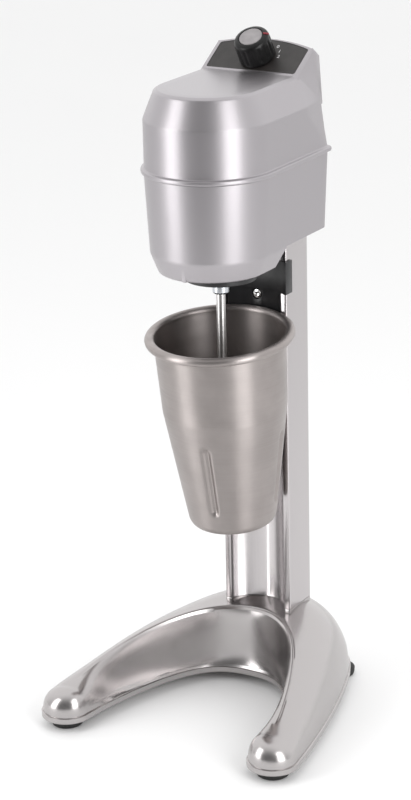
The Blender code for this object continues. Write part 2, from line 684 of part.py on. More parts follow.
column = prism("column", [column_outline(), column_inside(), circle(-PORT_X, PORT_Y, PORT_RADIUS, 16),
                          circle(PORT_X, PORT_Y, PORT_RADIUS, 16)],
               STUB_TOP + GAP, COLUMN_TOP, SATIN)
cut(column, rod("gland_hole", GLAND_RADIUS, (0, COLUMN_BACK - COLUMN_WALL - OVERSHOOT, GLAND_HEIGHT),
                (0, COLUMN_BACK + OVERSHOOT, GLAND_HEIGHT)))
for label, height in SCREW_HEIGHTS.items():
    cut(column, rod("bracket_thread_" + label, BRACKET_SCREW_RADIUS + FIT,
                    (0, GROOVE_BACK - OVERSHOOT, height),
                    (0, GROOVE_BACK + COLUMN_WALL + OVERSHOOT, height), sides=16))

for side, sign in SIDES.items():
    seat = WEB_BOSS_BOTTOM - GAP
    turned("column_bolt_" + side, [
        (0, STUB_TOP + BOLT_BITE), (BOLT_RADIUS, STUB_TOP + BOLT_BITE), (BOLT_RADIUS, seat),
        (BOLT_HEAD_RADIUS, seat), (BOLT_HEAD_RADIUS, seat - BOLT_HEAD_HEIGHT), (0, seat - BOLT_HEAD_HEIGHT)],
        ZINC, steps=12, at=(sign * PORT_X, PORT_Y, 0))

# the gland's profile runs along its own axis, from its inner end to the tip of its nose
GLAND_INNER_END = 0.0075
GLAND_NOSE = 0.0095
turned("cable_gland", [
    (GLAND_RADIUS - GAP, GLAND_INNER_END), (GLAND_RADIUS - GAP, GAP),
    (GLAND_RADIUS + 0.002, GAP), (GLAND_RADIUS + 0.0015, -0.0025), (GLAND_BORE + 0.002, -GLAND_NOSE),
    (GLAND_BORE, -GLAND_NOSE), (GLAND_BORE, GLAND_INNER_END)], BLACK, steps=24,
    at=(0, COLUMN_BACK + 2 * GAP, GLAND_HEIGHT), tilt=math.radians(90))

# ---------------------------------------------------------------- cup bracket
def face_arc(radius, centre_y, half_width, count=14):
    """The hollow front face, from its right end to its left, seen from above."""
    end = math.degrees(math.acos(half_width / radius))
    return list(arc((0, centre_y), radius, end, 180 - end, count))


def groove_meeting():
    """The half width at which the hollow face runs out on the groove's wall."""
    wall = GROOVE_RADIUS - GAP
    offset = GROOVE_CENTRE - CUP_RIM_Y
    forward = (RIM_FACE ** 2 - wall ** 2 + offset ** 2) / (2 * offset)
    return math.sqrt(RIM_FACE ** 2 - forward ** 2) - FIT


meeting = groove_meeting()
behind_groove = GROOVE_BACK + OVERSHOOT
bracket = prism("cup_bracket", [
    face_arc(RIM_FACE, CUP_RIM_Y, meeting) + [(-meeting, behind_groove), (meeting, behind_groove)]],
    BRACKET_BOTTOM, BRACKET_TOP, BLACK)
ear_radius = (EAR_HALF_WIDTH ** 2 + EAR_HOLLOW ** 2) / (2 * EAR_HOLLOW)
ear_back = COLUMN_FRONT + EAR_WRAP
join(bracket, prism("bracket_ears", [
    face_arc(ear_radius, EAR_FRONT + EAR_HOLLOW - ear_radius, EAR_HALF_WIDTH)
    + [(-EAR_HALF_WIDTH, ear_back), (EAR_HALF_WIDTH, ear_back)]], EAR_BOTTOM, BRACKET_TOP))
hook_top = LEDGE_TOP + HOOK_TRAVEL + 2 * GAP
cut(bracket,
    prism("column_clearance", [column_outline(GAP)], BRACKET_BOTTOM - OVERSHOOT, BRACKET_TOP + OVERSHOOT),
    block("hook_pocket", (-HOOK_PLATE_HALF_WIDTH - GAP, HOOK_PLATE_HALF_WIDTH + GAP),
          (PLATE_FRONT - GAP, COLUMN_BACK), (POCKET_FLOOR, hook_top)),
    block("ledge_window", (-HOOK_HALF_WIDTH - GAP, HOOK_HALF_WIDTH + GAP),
          (CUP_RIM_Y, PLATE_FRONT + GAP), (LEDGE_TOP - HOOK_LEDGE_HEIGHT - GAP, hook_top)),
    block("rod_channel", (ROD_X - ROD_WIDTH / 2 - FIT, ROD_X + ROD_WIDTH / 2 + FIT),
          (PLATE_FRONT - GAP, COLUMN_BACK), (LEDGE_TOP, BRACKET_TOP + OVERSHOOT)))
for label, height in SCREW_HEIGHTS.items():
    cut(bracket, turned("screw_hole_" + label, [
        (0, 0.020), (BRACKET_SCREW_RADIUS + FIT, 0.020), (BRACKET_SCREW_RADIUS + FIT, SCREW_SEAT_DEPTH),
        (BRACKET_SCREW_HEAD_RADIUS + FIT, SCREW_SEAT_DEPTH), (BRACKET_SCREW_HEAD_RADIUS + FIT, -0.012),
        (0, -0.012)], steps=20, at=(0, FACE_Y, height), tilt=math.radians(-90)))
    turned("bracket_screw_" + label, [
        (0, BRACKET_SCREW_LENGTH), (BRACKET_SCREW_RADIUS, BRACKET_SCREW_LENGTH),
        (BRACKET_SCREW_RADIUS, SCREW_SEAT_DEPTH - GAP), (BRACKET_SCREW_HEAD_RADIUS, SCREW_SEAT_DEPTH - GAP),
        (BRACKET_SCREW_HEAD_RADIUS - 0.0006, 0.0005), (0.0018, 0.0001), (0.0016, 0.0012), (0, 0.0015)],
        ZINC, steps=20, at=(0, FACE_Y, height), tilt=math.radians(-90))

# ---------------------------------------------------------------- cup hook, spring and switch rod
def cup_axis(depth):
    """The centre of the tilted cup at a depth below its rim."""
    return Vector((0, CUP_RIM_Y + depth * math.sin(CUP_TILT), CUP_RIM_HEIGHT - depth * math.cos(CUP_TILT)))


def rod_slot(name, margin, low, high):
    return block(name, (ROD_X - ROD_WIDTH / 2 - margin, ROD_X + ROD_WIDTH / 2 + margin),
                 (ROD_Y - ROD_THICKNESS / 2 - margin, ROD_Y + ROD_THICKNESS / 2 + margin), (low, high))


# the ledge stops just short of the cup's wall, which slants back as it goes down
wall_below_rim = 2 * CUP_BEAD_RADIUS + HOOK_LEDGE_HEIGHT + 0.001
LEDGE_FRONT = (CUP_RIM_Y + (CUP_RIM_RADIUS - 2 * CUP_BEAD_RADIUS) * math.cos(CUP_TILT)
               + wall_below_rim * math.sin(CUP_TILT) + GAP)
hook = block("cup_hook", (-HOOK_PLATE_HALF_WIDTH, HOOK_PLATE_HALF_WIDTH), (PLATE_FRONT, PLATE_BACK),
             (LEDGE_TOP - HOOK_PLATE_HEIGHT, LEDGE_TOP), BLACK)
join(hook, block("ledge", (-HOOK_HALF_WIDTH, HOOK_HALF_WIDTH), (LEDGE_FRONT, PLATE_FRONT + 0.001),
                 (LEDGE_TOP - HOOK_LEDGE_HEIGHT, LEDGE_TOP - 0.0002)))
cut(hook, rod_slot("rod_socket", GAP, LEDGE_TOP - ROD_SOCKET_DEPTH, LEDGE_TOP + OVERSHOOT),
    block("rod_socket_back", (ROD_X - ROD_WIDTH / 2 - GAP, ROD_X + ROD_WIDTH / 2 + GAP),
          (ROD_Y, PLATE_BACK + OVERSHOOT), (LEDGE_TOP - ROD_SOCKET_DEPTH, LEDGE_TOP + OVERSHOOT)))
block("switch_rod", (ROD_X - ROD_WIDTH / 2, ROD_X + ROD_WIDTH / 2),
      (ROD_Y - ROD_THICKNESS / 2, ROD_Y + ROD_THICKNESS / 2),
      (LEDGE_TOP - ROD_SOCKET_DEPTH + GAP, LEVER_HEIGHT - 0.0005), ZINC)

POINTS_PER_TURN = 8
wire_room = SPRING_WIRE + GAP
coil = []
for i in range(SPRING_TURNS * POINTS_PER_TURN + 1):
    turn = 2 * math.pi * i / POINTS_PER_TURN
    rise = (SPRING_LENGTH - 2 * wire_room) * i / (SPRING_TURNS * POINTS_PER_TURN)
    coil.append((SPRING_RADIUS * math.cos(turn), SPRING_RADIUS * math.sin(turn), wire_room + rise))
spring = wire("hook_spring", coil, SPRING_WIRE, ZINC)
spring.location = (0, PLATE_FRONT + SPRING_RADIUS + wire_room, POCKET_FLOOR)

# the bumper that the cup's wall leans on, below the rim
bumper_low = BRACKET_BOTTOM + BUMPER_RISE
bumper_high = bumper_low + BUMPER_HEIGHT
bumper_middle = (bumper_low + bumper_high) / 2
bumper_depth = (CUP_RIM_HEIGHT + CUP_KNEE_RADIUS * math.sin(CUP_TILT) - bumper_middle) / math.cos(CUP_TILT)
bumper_face = cup_axis(bumper_depth).y + CUP_KNEE_RADIUS / math.cos(CUP_TILT) + GAP
block("cup_bumper", (-BUMPER_HALF_WIDTH, BUMPER_HALF_WIDTH), (bumper_face, FACE_Y - 2 * GAP),
      (bumper_low, bumper_high), RUBBER, edge=0.0005)

# a lever over the rod's end works the microswitch; its origin is on its pivot
PIVOT_Y = ROD_Y + LEVER_FROM_ROD
switch_bottom = LEVER_HEIGHT + LEVER_THICKNESS + MICROSWITCH_RISE
lever = block("switch_lever", (ROD_X - LEVER_HALF_WIDTH, ROD_X + LEVER_HALF_WIDTH),
              (PIVOT_Y - LEVER_REACH, PIVOT_Y + LEVER_TAIL),
              (LEVER_HEIGHT, LEVER_HEIGHT + LEVER_THICKNESS), ZINC)
lever.data.transform(Matrix.Translation(lever.location - Vector((ROD_X, PIVOT_Y, LEVER_HEIGHT))))
lever.location = (ROD_X, PIVOT_Y, LEVER_HEIGHT)
switch_back = HEAD_REAR - HEAD_WALL - GAP
block("microswitch", (ROD_X - MICROSWITCH_WIDTH / 2, ROD_X + MICROSWITCH_WIDTH / 2),
      (switch_back - MICROSWITCH_LENGTH, switch_back),
      (switch_bottom, switch_bottom + MICROSWITCH_HEIGHT), BLACK)

# ---------------------------------------------------------------- head shells
SHELL_BREAK_Y = HEAD_REAR - 0.012            # where the straight sides of the lower shell end
TOWER_FRONT_Y = 0.030
SHELL_OVERLAP = 0.004                        # how far the hollows run past the parting line


def head_outline(half_width, height, rear_half_width, break_y, rear_y, corner_y):
    """Seen from above: a round front, straight sides, and sides that draw in towards the rear."""
    centre = (0, HEAD_FRONT_CENTRE)
    right = list(arc(centre, half_width, -90, 0, 12))
    right.append((half_width, break_y))
    right.append((rear_half_width, corner_y - 0.003))
    right.append((rear_half_width - 0.0009, corner_y - 0.0009))
    right.append((rear_half_width - 0.003, corner_y))
    right.append((rear_half_width * 0.5, corner_y + (rear_y - corner_y) * 0.75))
    left = [(-x, y) for x, y in reversed(right[1:])]
    return [(x, y, height) for x, y in right + [(0, rear_y)] + left]


def step_cutter(name, lift):
    """Takes away the part of the lower shell under the rear floor, with a slanted front."""
    low = HEAD_BOTTOM - 0.02
    rear = HEAD_REAR + 0.02
    front = STEP_FRONT + lift * 0.4
    outline = [(front - 0.004, low), (front, HEAD_BOTTOM + lift),
               (front + 0.008, HEAD_REAR_BOTTOM + lift), (rear, HEAD_REAR_BOTTOM + lift), (rear, low)]
    return loft(name, [[(side * 0.08, y, z) for y, z in outline] for side in (-1, 1)])


def lower_solid(name, inset, look=None):
    """The round-fronted tub, slightly wider towards the seam, or the hollow inside it."""
    top = SEAM_HEIGHT - BEAD_HALF_HEIGHT - GAP + (SHELL_OVERLAP if inset else 0)
    rear = HEAD_REAR - inset
    rings = []
    for height, radius in ((HEAD_BOTTOM + inset, HEAD_BOTTOM_RADIUS),
                           (CHAMFER_TOP + inset * 0.4, CHAMFER_RADIUS), (top, SEAM_RADIUS)):
        half = radius - inset
        rings.append(head_outline(half, height, half, rear - 0.012, rear, rear - 0.0006))
    return cut(loft(name, rings, look), step_cutter(name + "_step", inset))


def upper_solid(name, inset, look=None):
    """The D-shaped cap: a seam bead, a straight wall, a chamfer and a nearly flat crown."""
    bead_low = SEAM_HEIGHT - BEAD_HALF_HEIGHT
    bead_high = SEAM_HEIGHT + BEAD_HALF_HEIGHT
    wall = SHOULDER_HEIGHT - bead_high
    crown_radius = HEAD_TOP_RADIUS - 0.0023
    rings = []

    def ring(height, radius, rear_half, break_y, corner_drop, proud=0.0):
        half = radius + proud - inset
        rear = HEAD_REAR + proud - inset
        rings.append(head_outline(half, height, rear_half + proud - inset, break_y, rear,
                                  rear - corner_drop))

    if inset:
        ring(bead_low - SHELL_OVERLAP, SEAM_RADIUS, SEAM_RADIUS, SHELL_BREAK_Y, 0.0006)
    else:
        ring(bead_low, SEAM_RADIUS, SEAM_RADIUS, SHELL_BREAK_Y, 0.0006)
        for height in (bead_low + 0.0006, bead_high - 0.0006):
            ring(height, SEAM_RADIUS, SEAM_RADIUS, SHELL_BREAK_Y, 0.0006, BEAD_PROUD)
    ring(bead_high, SHOULDER_RADIUS, SHOULDER_RADIUS, SHELL_BREAK_Y, 0.0008)
    ring(bead_high + wall * 0.35, SHOULDER_RADIUS, 0.0430, 0.0625, 0.0020)
    ring(bead_high + wall * 0.82, SHOULDER_RADIUS, 0.0405, 0.0455, 0.0040)
    ring(SHOULDER_HEIGHT - inset * 0.3, SHOULDER_RADIUS, 0.0400, 0.0440, 0.0045)
    ring(HEAD_TOP - inset * 0.7, HEAD_TOP_RADIUS, HEAD_TOP_RADIUS, 0.0460, 0.0060)
    ring(HEAD_TOP + CROWN_RISE - inset, crown_radius, crown_radius, 0.0460, 0.0060)
    return loft(name, rings, look)


def tower_solid(name, inset):
    """The raised rear with a sloping top, which carries the control panel."""
    half = TOWER_HALF_WIDTH - inset
    rear = HEAD_REAR - inset
    right = [(half, TOWER_FRONT_Y + inset), (half, rear - 0.0095), (half - 0.0009, rear - 0.0074),
             (half - 0.003, rear - 0.0064), (half * 0.5, rear - 0.0016)]
    outline = right + [(0, rear)] + [(-x, y) for x, y in reversed(right)]
    top = HEAD_TOP + 0.040
    solid = loft(name, [[(x, y, height) for x, y in outline] for height in (SHOULDER_HEIGHT, top)])
    above = block(name + "_slope", (-0.08, 0.08), (-0.08, 0.08), (0, 0.08))
    above.rotation_euler = (PANEL_SLOPE, 0, 0)
    above.location = SLOPE_EDGE + SLOPE_OUT * (0.04 - inset)
    return cut(solid, above)


def panel_outline(grow):
    """The panel seen square on: straight sides, and a rear edge that bulges in the middle."""
    half = PANEL_HALF_WIDTH + grow
    bulge_radius = (half ** 2 + PANEL_BULGE ** 2) / (2 * PANEL_BULGE)
    end = math.degrees(math.acos(half / bulge_radius))
    centre = PANEL_SIDE_LENGTH + grow + PANEL_BULGE - bulge_radius
    corner = PANEL_CORNER
    return ([(half - corner, -grow), (half, -grow + corner)]
            + list(arc((0, centre), bulge_radius, end, 180 - end, 12))
            + [(-half, -grow + corner), (-half + corner, -grow)])


def panel_piece(name, grow, low, high, look=None):
    """A slab of the panel's outline, between two depths measured out of the slope."""
    piece = prism(name, [panel_outline(grow)], low, high, look)
    piece.rotation_euler = (PANEL_SLOPE, 0, 0)
    piece.location = PANEL_EDGE + SLOPE_OUT * (low + high) / 2
    return piece


lower = lower_solid("head_lower_shell", 0.0, PAINT)
cut(lower, lower_solid("lower_inside", HEAD_WALL))
upper = upper_solid("head_upper_shell", 0.0, PAINT)
join(upper, tower_solid("tower", 0.0))
cut(upper, upper_solid("upper_inside", HEAD_WALL), tower_solid("tower_inside", HEAD_WALL))

# holes in the lower shell's floor: spindle, screws into the column, wires and the switch rod
cut(lower, hole("spindle_hole", BOSS_NECK_RADIUS + FIT, 0, 0, HEAD_BOTTOM, HEAD_BOTTOM + HEAD_WALL, 24))
for side, sign in SIDES.items():
    cut(lower, hole("floor_hole_" + side, BOLT_RADIUS + FIT, sign * PORT_X, PORT_Y, HEAD_REAR_BOTTOM,
                    HEAD_FLOOR))
cut(lower, hole("floor_cable_hole", CABLE_HOLE_RADIUS, 0, CABLE_Y, HEAD_REAR_BOTTOM, HEAD_FLOOR, sides=24),
    rod_slot("floor_rod_slot", FIT, HEAD_REAR_BOTTOM - OVERSHOOT, HEAD_FLOOR + OVERSHOOT))

# a tab on each side of the upper shell reaches down inside the lower shell's rear wall, for two screws
inner_rear = HEAD_REAR - HEAD_WALL
tab_back = inner_rear - 0.0015
tab_high = SEAM_HEIGHT + 0.008
SHELL_SCREW_HEIGHT = SEAM_HEIGHT - SHELL_SCREW_DROP
for side, sign in SIDES.items():
    x = sign * TAB_X
    tab_x = (x - TAB_HALF_WIDTH, x + TAB_HALF_WIDTH)
    join(upper,
         block("tab_" + side, tab_x, (tab_back - TAB_THICKNESS, tab_back),
               (SEAM_HEIGHT - TAB_DROP, tab_high)),
         block("tab_root_" + side, tab_x, (tab_back - TAB_THICKNESS / 2, inner_rear + 0.0005),
               (SEAM_HEIGHT + BEAD_HALF_HEIGHT + 0.0005, tab_high)))
    screw_room = SHELL_SCREW_RADIUS + FIT
    cut(upper, rod("tab_thread_" + side, screw_room, (x, inner_rear - 0.008, SHELL_SCREW_HEIGHT),
                   (x, inner_rear, SHELL_SCREW_HEIGHT), sides=12))
    cut(lower, rod("rear_hole_" + side, screw_room, (x, inner_rear - 0.001, SHELL_SCREW_HEIGHT),
                   (x, HEAD_REAR + OVERSHOOT, SHELL_SCREW_HEIGHT), sides=12))
    turned("shell_screw_" + side, [
        (0, SHELL_SCREW_LENGTH), (SHELL_SCREW_RADIUS, SHELL_SCREW_LENGTH), (SHELL_SCREW_RADIUS, -GAP),
        (SHELL_SCREW_HEAD_RADIUS, -GAP), (SHELL_SCREW_HEAD_RADIUS - 0.0006, -0.0018), (0, -0.0022)],
        ZINC, steps=16, at=(x, HEAD_REAR, SHELL_SCREW_HEIGHT), tilt=math.radians(90))

# ---------------------------------------------------------------- control panel, knob and switch
cut(upper, panel_piece("panel_recess", GAP, -PANEL_THICKNESS - GAP, 0.004),
    panel_piece("panel_opening", -PANEL_LEDGE, -0.006, 0.001))
panel = panel_piece("control_panel", 0.0, -PANEL_THICKNESS, 0.0, BLACK)
knob_turn = bpy.data.objects.new("knob_axis", None)
knob_turn.parent = spindle_axis
knob_turn.location = KNOB_SEAT
knob_turn.rotation_euler = (PANEL_SLOPE, 0, 0)
mixer.objects.link(knob_turn)


def on_knob(piece):
    piece.parent = knob_turn
    return piece


# below, heights are measured out of the panel's face
shaft_room = SWITCH_SHAFT_RADIUS + FIT
switch_half = SWITCH_SIZE / 2
switch_top = -PANEL_THICKNESS - GAP
switch_floor = switch_top - SWITCH_DEPTH
cut(panel, on_knob(hole("panel_hole", shaft_room, 0, 0, -PANEL_THICKNESS, 0, sides=24)))
switch = on_knob(block("selector_switch", (-switch_half, switch_half), (-switch_half, switch_half),
                       (switch_floor, switch_top), BLACK, edge=0.001))
cut(switch, on_knob(rod("switch_bore", shaft_room, (0, 0, switch_floor + 0.0018), (0, 0, OVERSHOOT))))
on_knob(turned("selector_shaft", [
    (0, SWITCH_SHAFT_REACH), (SWITCH_SHAFT_RADIUS, SWITCH_SHAFT_REACH),
    (SWITCH_SHAFT_RADIUS, switch_floor + 0.0028), (0, switch_floor + 0.0028)], ZINC, steps=20))
on_knob(prism("selector_nut", [circle(0, 0, NUT_RADIUS, 6), circle(0, 0, shaft_room)],
              GAP, NUT_HEIGHT, ZINC))
cap_floor = KNOB_HEIGHT - KNOB_CAP_THICKNESS
bore_top = SWITCH_SHAFT_REACH + 0.0007
on_knob(turned("knob", [
    (0, cap_floor), (KNOB_CAP_RADIUS + GAP, cap_floor), (KNOB_CAP_RADIUS + GAP, KNOB_HEIGHT),
    (KNOB_TOP_RADIUS - 0.0030, KNOB_HEIGHT), (KNOB_TOP_RADIUS - 0.0008, KNOB_HEIGHT - 0.0010),
    (KNOB_TOP_RADIUS, KNOB_HEIGHT - 0.0026), (KNOB_RADIUS, KNOB_LIFT + 0.003), (KNOB_RADIUS, KNOB_LIFT),
    (KNOB_HOLLOW_RADIUS, KNOB_LIFT), (KNOB_HOLLOW_RADIUS, KNOB_HOLLOW_HEIGHT),
    (shaft_room, KNOB_HOLLOW_HEIGHT), (shaft_room, bore_top), (0, bore_top)], BLACK, steps=28))
on_knob(turned("knob_cap", [
    (0, KNOB_HEIGHT + 0.0003), (KNOB_CAP_RADIUS - 0.0004, KNOB_HEIGHT + 0.0003),
    (KNOB_CAP_RADIUS, KNOB_HEIGHT), (KNOB_CAP_RADIUS, cap_floor + GAP), (0, cap_floor + GAP)],
    GREY, steps=28))

# ---------------------------------------------------------------- motor
def inside_outline(margin):
    """The room inside the lower shell, seen from above."""
    half = CHAMFER_RADIUS - HEAD_WALL - margin
    rear = HEAD_REAR - HEAD_WALL - margin
    corner = 0.004
    return ([(-half, HEAD_FRONT_CENTRE)] + list(arc((0, HEAD_FRONT_CENTRE), half, 180, 360, 20))[1:]
            + [(half, rear - corner), (half - corner, rear), (-half + corner, rear), (-half, rear - corner)])


PLATE_MARGIN = 0.002
plate = prism("motor_plate", [inside_outline(PLATE_MARGIN), circle(0, 0, BEARING_RADIUS + FIT, 28)],
              PLATE_BOTTOM, PLATE_TOP, ZINC)
for side, sign in SIDES.items():
    x = sign * PORT_X
    cut(plate, hole("plate_hole_" + side, BOLT_RADIUS + FIT, x, PORT_Y, PLATE_BOTTOM, PLATE_TOP))
    seat = PLATE_TOP + GAP
    tip = COLUMN_TOP - BOLT_BITE
    turned("head_bolt_" + side, [
        (0, seat + BOLT_HEAD_HEIGHT), (BOLT_HEAD_RADIUS, seat + BOLT_HEAD_HEIGHT), (BOLT_HEAD_RADIUS, seat),
        (BOLT_RADIUS, seat), (BOLT_RADIUS, tip), (0, tip)], ZINC, steps=12, at=(x, PORT_Y, 0))
cut(plate, hole("plate_cable_hole", CABLE_HOLE_RADIUS, 0, CABLE_Y, PLATE_BOTTOM, PLATE_TOP, sides=24),
    rod_slot("plate_rod_slot", FIT, PLATE_BOTTOM - OVERSHOOT, PLATE_TOP + OVERSHOOT))

BEARING_SINK = 0.002                         # the bearings hang this far below their seats
bearing_lows = {"lower": PLATE_BOTTOM - BEARING_SINK, "upper": BRIDGE_BOTTOM - BEARING_SINK}
for label, low in bearing_lows.items():
    turned("bearing_" + label, [
        (SHAFT_ROOM, low + BEARING_HEIGHT), (BEARING_RADIUS, low + BEARING_HEIGHT), (BEARING_RADIUS, low),
        (SHAFT_ROOM, low)], ZINC, steps=20)

stator = prism("stator_core", [circle(0, 0, STATOR_RADIUS, 32), circle(0, 0, STATOR_BORE, 28)],
               STATOR_BOTTOM, STATOR_TOP, LAMINATION)
coil_edge = COIL_RADIUS - 0.0008
coil_bore = STATOR_BORE + 0.001
for label, low in (("lower", STATOR_BOTTOM - COIL_HEIGHT - GAP), ("upper", STATOR_TOP + GAP)):
    high = low + COIL_HEIGHT
    turned("field_coil_" + label, [(coil_bore, high), (coil_edge, high), (COIL_RADIUS, (low + high) / 2),
                                   (coil_edge, low), (coil_bore, low)], COPPER, steps=24)

FAN_BLADES = 7
FAN_DISC = 0.0015
FAN_HUB_RADIUS = 0.0075
BLADE_THICKNESS = 0.0012
fan_low = bearing_lows["lower"] + BEARING_HEIGHT + 0.0015
fan_high = fan_low + FAN_HEIGHT
fan = turned("cooling_fan", [
    (SHAFT_ROOM, fan_high), (FAN_HUB_RADIUS - 0.001, fan_high), (FAN_HUB_RADIUS, fan_low + FAN_DISC),
    (FAN_RADIUS, fan_low + FAN_DISC), (FAN_RADIUS, fan_low), (SHAFT_ROOM, fan_low)], GREY, steps=24)
for i in range(FAN_BLADES):
    blade = block("blade_%d" % i, (FAN_HUB_RADIUS - 0.0007, FAN_RADIUS - 0.0010),
                  (-BLADE_THICKNESS / 2, BLADE_THICKNESS / 2), (fan_low + 0.0010, fan_high - 0.001))
    turn = 2 * math.pi * i / FAN_BLADES
    middle = blade.location.copy()
    blade.rotation_euler = (0, 0, turn)
    blade.location = Matrix.Rotation(turn, 3, "Z") @ middle
    join(fan, blade)

prism("rotor_core", [circle(0, 0, ROTOR_RADIUS, 24), circle(0, 0, SHAFT_ROOM, 16)],
      STATOR_BOTTOM, STATOR_TOP, LAMINATION)
commutator_low = STATOR_TOP + 0.006
commutator_high = commutator_low + COMMUTATOR_HEIGHT
turned("commutator", [
    (SHAFT_ROOM, commutator_high), (COMMUTATOR_RADIUS, commutator_high),
    (COMMUTATOR_RADIUS, commutator_low), (SHAFT_ROOM, commutator_low)], COPPER, steps=20)
shaft_top = BRIDGE_BOTTOM + 0.008
turned("rotor_shaft", [
    (0, shaft_top), (SPINDLE_RADIUS, shaft_top), (SPINDLE_RADIUS, COUPLING_MIDDLE + GAP),
    (0, COUPLING_MIDDLE + GAP)], ZINC, steps=24)

# the bridge over the motor holds the upper bearing and both brush holders
bridge_half = MOTOR_BOLT_X + 0.0042
bridge = block("motor_bridge", (-bridge_half, bridge_half), (-BRIDGE_HALF_DEPTH, BRIDGE_HALF_DEPTH),
               (BRIDGE_BOTTOM, BRIDGE_TOP), ZINC)
cut(bridge, hole("bridge_bearing_seat", BEARING_RADIUS + FIT, 0, 0, BRIDGE_BOTTOM, BRIDGE_TOP, sides=24))
for side, sign in SIDES.items():
    x = sign * MOTOR_BOLT_X
    room = MOTOR_BOLT_RADIUS + FIT
    cut(stator, hole("stator_hole_" + side, room, x, 0, STATOR_BOTTOM, STATOR_TOP, sides=12))
    cut(plate, hole("plate_thread_" + side, room, x, 0, PLATE_BOTTOM, PLATE_TOP, sides=12))
    join(bridge, rod("bridge_leg_" + side, BRIDGE_LEG_RADIUS, (x, 0, STATOR_TOP + GAP),
                     (x, 0, BRIDGE_BOTTOM + 0.001)))
    cut(bridge, hole("bridge_hole_" + side, room, x, 0, STATOR_TOP, BRIDGE_TOP, sides=12))
    seat = BRIDGE_TOP + GAP
    tip = PLATE_BOTTOM - 0.003
    turned("motor_bolt_" + side, [
        (0, seat + MOTOR_BOLT_HEAD_HEIGHT), (MOTOR_BOLT_HEAD_RADIUS, seat + MOTOR_BOLT_HEAD_HEIGHT),
        (MOTOR_BOLT_HEAD_RADIUS, seat), (MOTOR_BOLT_RADIUS, seat), (MOTOR_BOLT_RADIUS, tip), (0, tip)],
        ZINC, steps=12, at=(x, 0, 0))
    turned("motor_spacer_" + side, [
        (room, STATOR_BOTTOM - GAP), (MOTOR_SPACER_RADIUS, STATOR_BOTTOM - GAP),
        (MOTOR_SPACER_RADIUS, PLATE_TOP + GAP), (room, PLATE_TOP + GAP)], ZINC, steps=16, at=(x, 0, 0))

brush_tip = COMMUTATOR_RADIUS + GAP
brush_middle = (commutator_low + commutator_high) / 2
for label, sign in (("front", -1), ("rear", 1)):
    holder = block("brush_holder_" + label, (-BRUSH_HOLDER_HALF_WIDTH, BRUSH_HOLDER_HALF_WIDTH),
                   sorted((sign * (brush_tip + 0.002), sign * BRUSH_HOLDER_END)),
                   (commutator_low + 0.001, BRIDGE_BOTTOM - GAP), BLACK)
    cut(holder, block("brush_slot_" + label, (-BRUSH_HALF_WIDTH - GAP, BRUSH_HALF_WIDTH + GAP),
                      sorted((sign * brush_tip, sign * (brush_tip + BRUSH_LENGTH + 0.001))),
                      (brush_middle - BRUSH_HALF_HEIGHT - GAP, brush_middle + BRUSH_HALF_HEIGHT + GAP)))
    block("carbon_brush_" + label, (-BRUSH_HALF_WIDTH, BRUSH_HALF_WIDTH),
          sorted((sign * brush_tip, sign * (brush_tip + BRUSH_LENGTH))),
          (brush_middle - BRUSH_HALF_HEIGHT, brush_middle + BRUSH_HALF_HEIGHT), CARBON)

TERMINALS_WIDTH = 0.016
TERMINALS_HEIGHT = 0.0117
block("terminal_block", (-0.004 - TERMINALS_WIDTH, -0.004), (CABLE_Y - 0.022, CABLE_Y - 0.010),
      (PLATE_TOP + GAP, PLATE_TOP + TERMINALS_HEIGHT), BLACK, edge=0.0006)

# ---------------------------------------------------------------- spindle
boss_neck_top = HEAD_BOTTOM + HEAD_WALL + 0.001
boss_top = HEAD_BOTTOM - GAP
spindle_room = SPINDLE_RADIUS + FIT
turned("spindle_boss", [
    (BOSS_NECK_RADIUS, boss_neck_top), (BOSS_NECK_RADIUS, boss_top), (BOSS_RADIUS - 0.001, boss_top),
    (BOSS_RADIUS, boss_top - 0.001), (BOSS_RADIUS, BOSS_BOTTOM + 0.001), (BOSS_RADIUS - 0.001, BOSS_BOTTOM),
    (spindle_room, BOSS_BOTTOM), (spindle_room, boss_neck_top)], BLACK, steps=32)
edge = 0.0006
turned("spindle_coupling", [
    (SHAFT_ROOM, COUPLING_TOP), (COUPLING_RADIUS - edge, COUPLING_TOP),
    (COUPLING_RADIUS, COUPLING_TOP - edge), (COUPLING_RADIUS, COUPLING_BOTTOM + edge),
    (COUPLING_RADIUS - edge, COUPLING_BOTTOM), (SHAFT_ROOM, COUPLING_BOTTOM)], STEEL, steps=28)
# the agitator is a wavy disc with a hub, held on the spindle's thinner tip
tip_low = AGITATOR_HEIGHT - 0.0035
turned("spindle_shaft", [
    (0, COUPLING_MIDDLE), (SPINDLE_RADIUS, COUPLING_MIDDLE), (SPINDLE_RADIUS, AGITATOR_HEIGHT + 0.0045),
    (SPINDLE_TIP_RADIUS, AGITATOR_HEIGHT + 0.0042), (SPINDLE_TIP_RADIUS, tip_low), (0, tip_low)],
    STEEL, steps=24)
turned("agitator", [(radius, AGITATOR_HEIGHT + rise) for radius, rise in (
    (SPINDLE_TIP_RADIUS + GAP, 0.0038), (0.0045, 0.0038), (0.0060, 0.0008), (0.0100, 0.0014),
    (AGITATOR_RADIUS, -0.0004), (AGITATOR_RADIUS, -0.0016), (0.0100, 0.0), (0.0060, -0.0010),
    (SPINDLE_TIP_RADIUS + GAP, -0.0010))], STEEL, steps=20)

# ---------------------------------------------------------------- cup
FLOOR_LIFT = 0.0015                          # the floor is pushed up inside a low ring
FLOOR_ROUNDING = 0.004


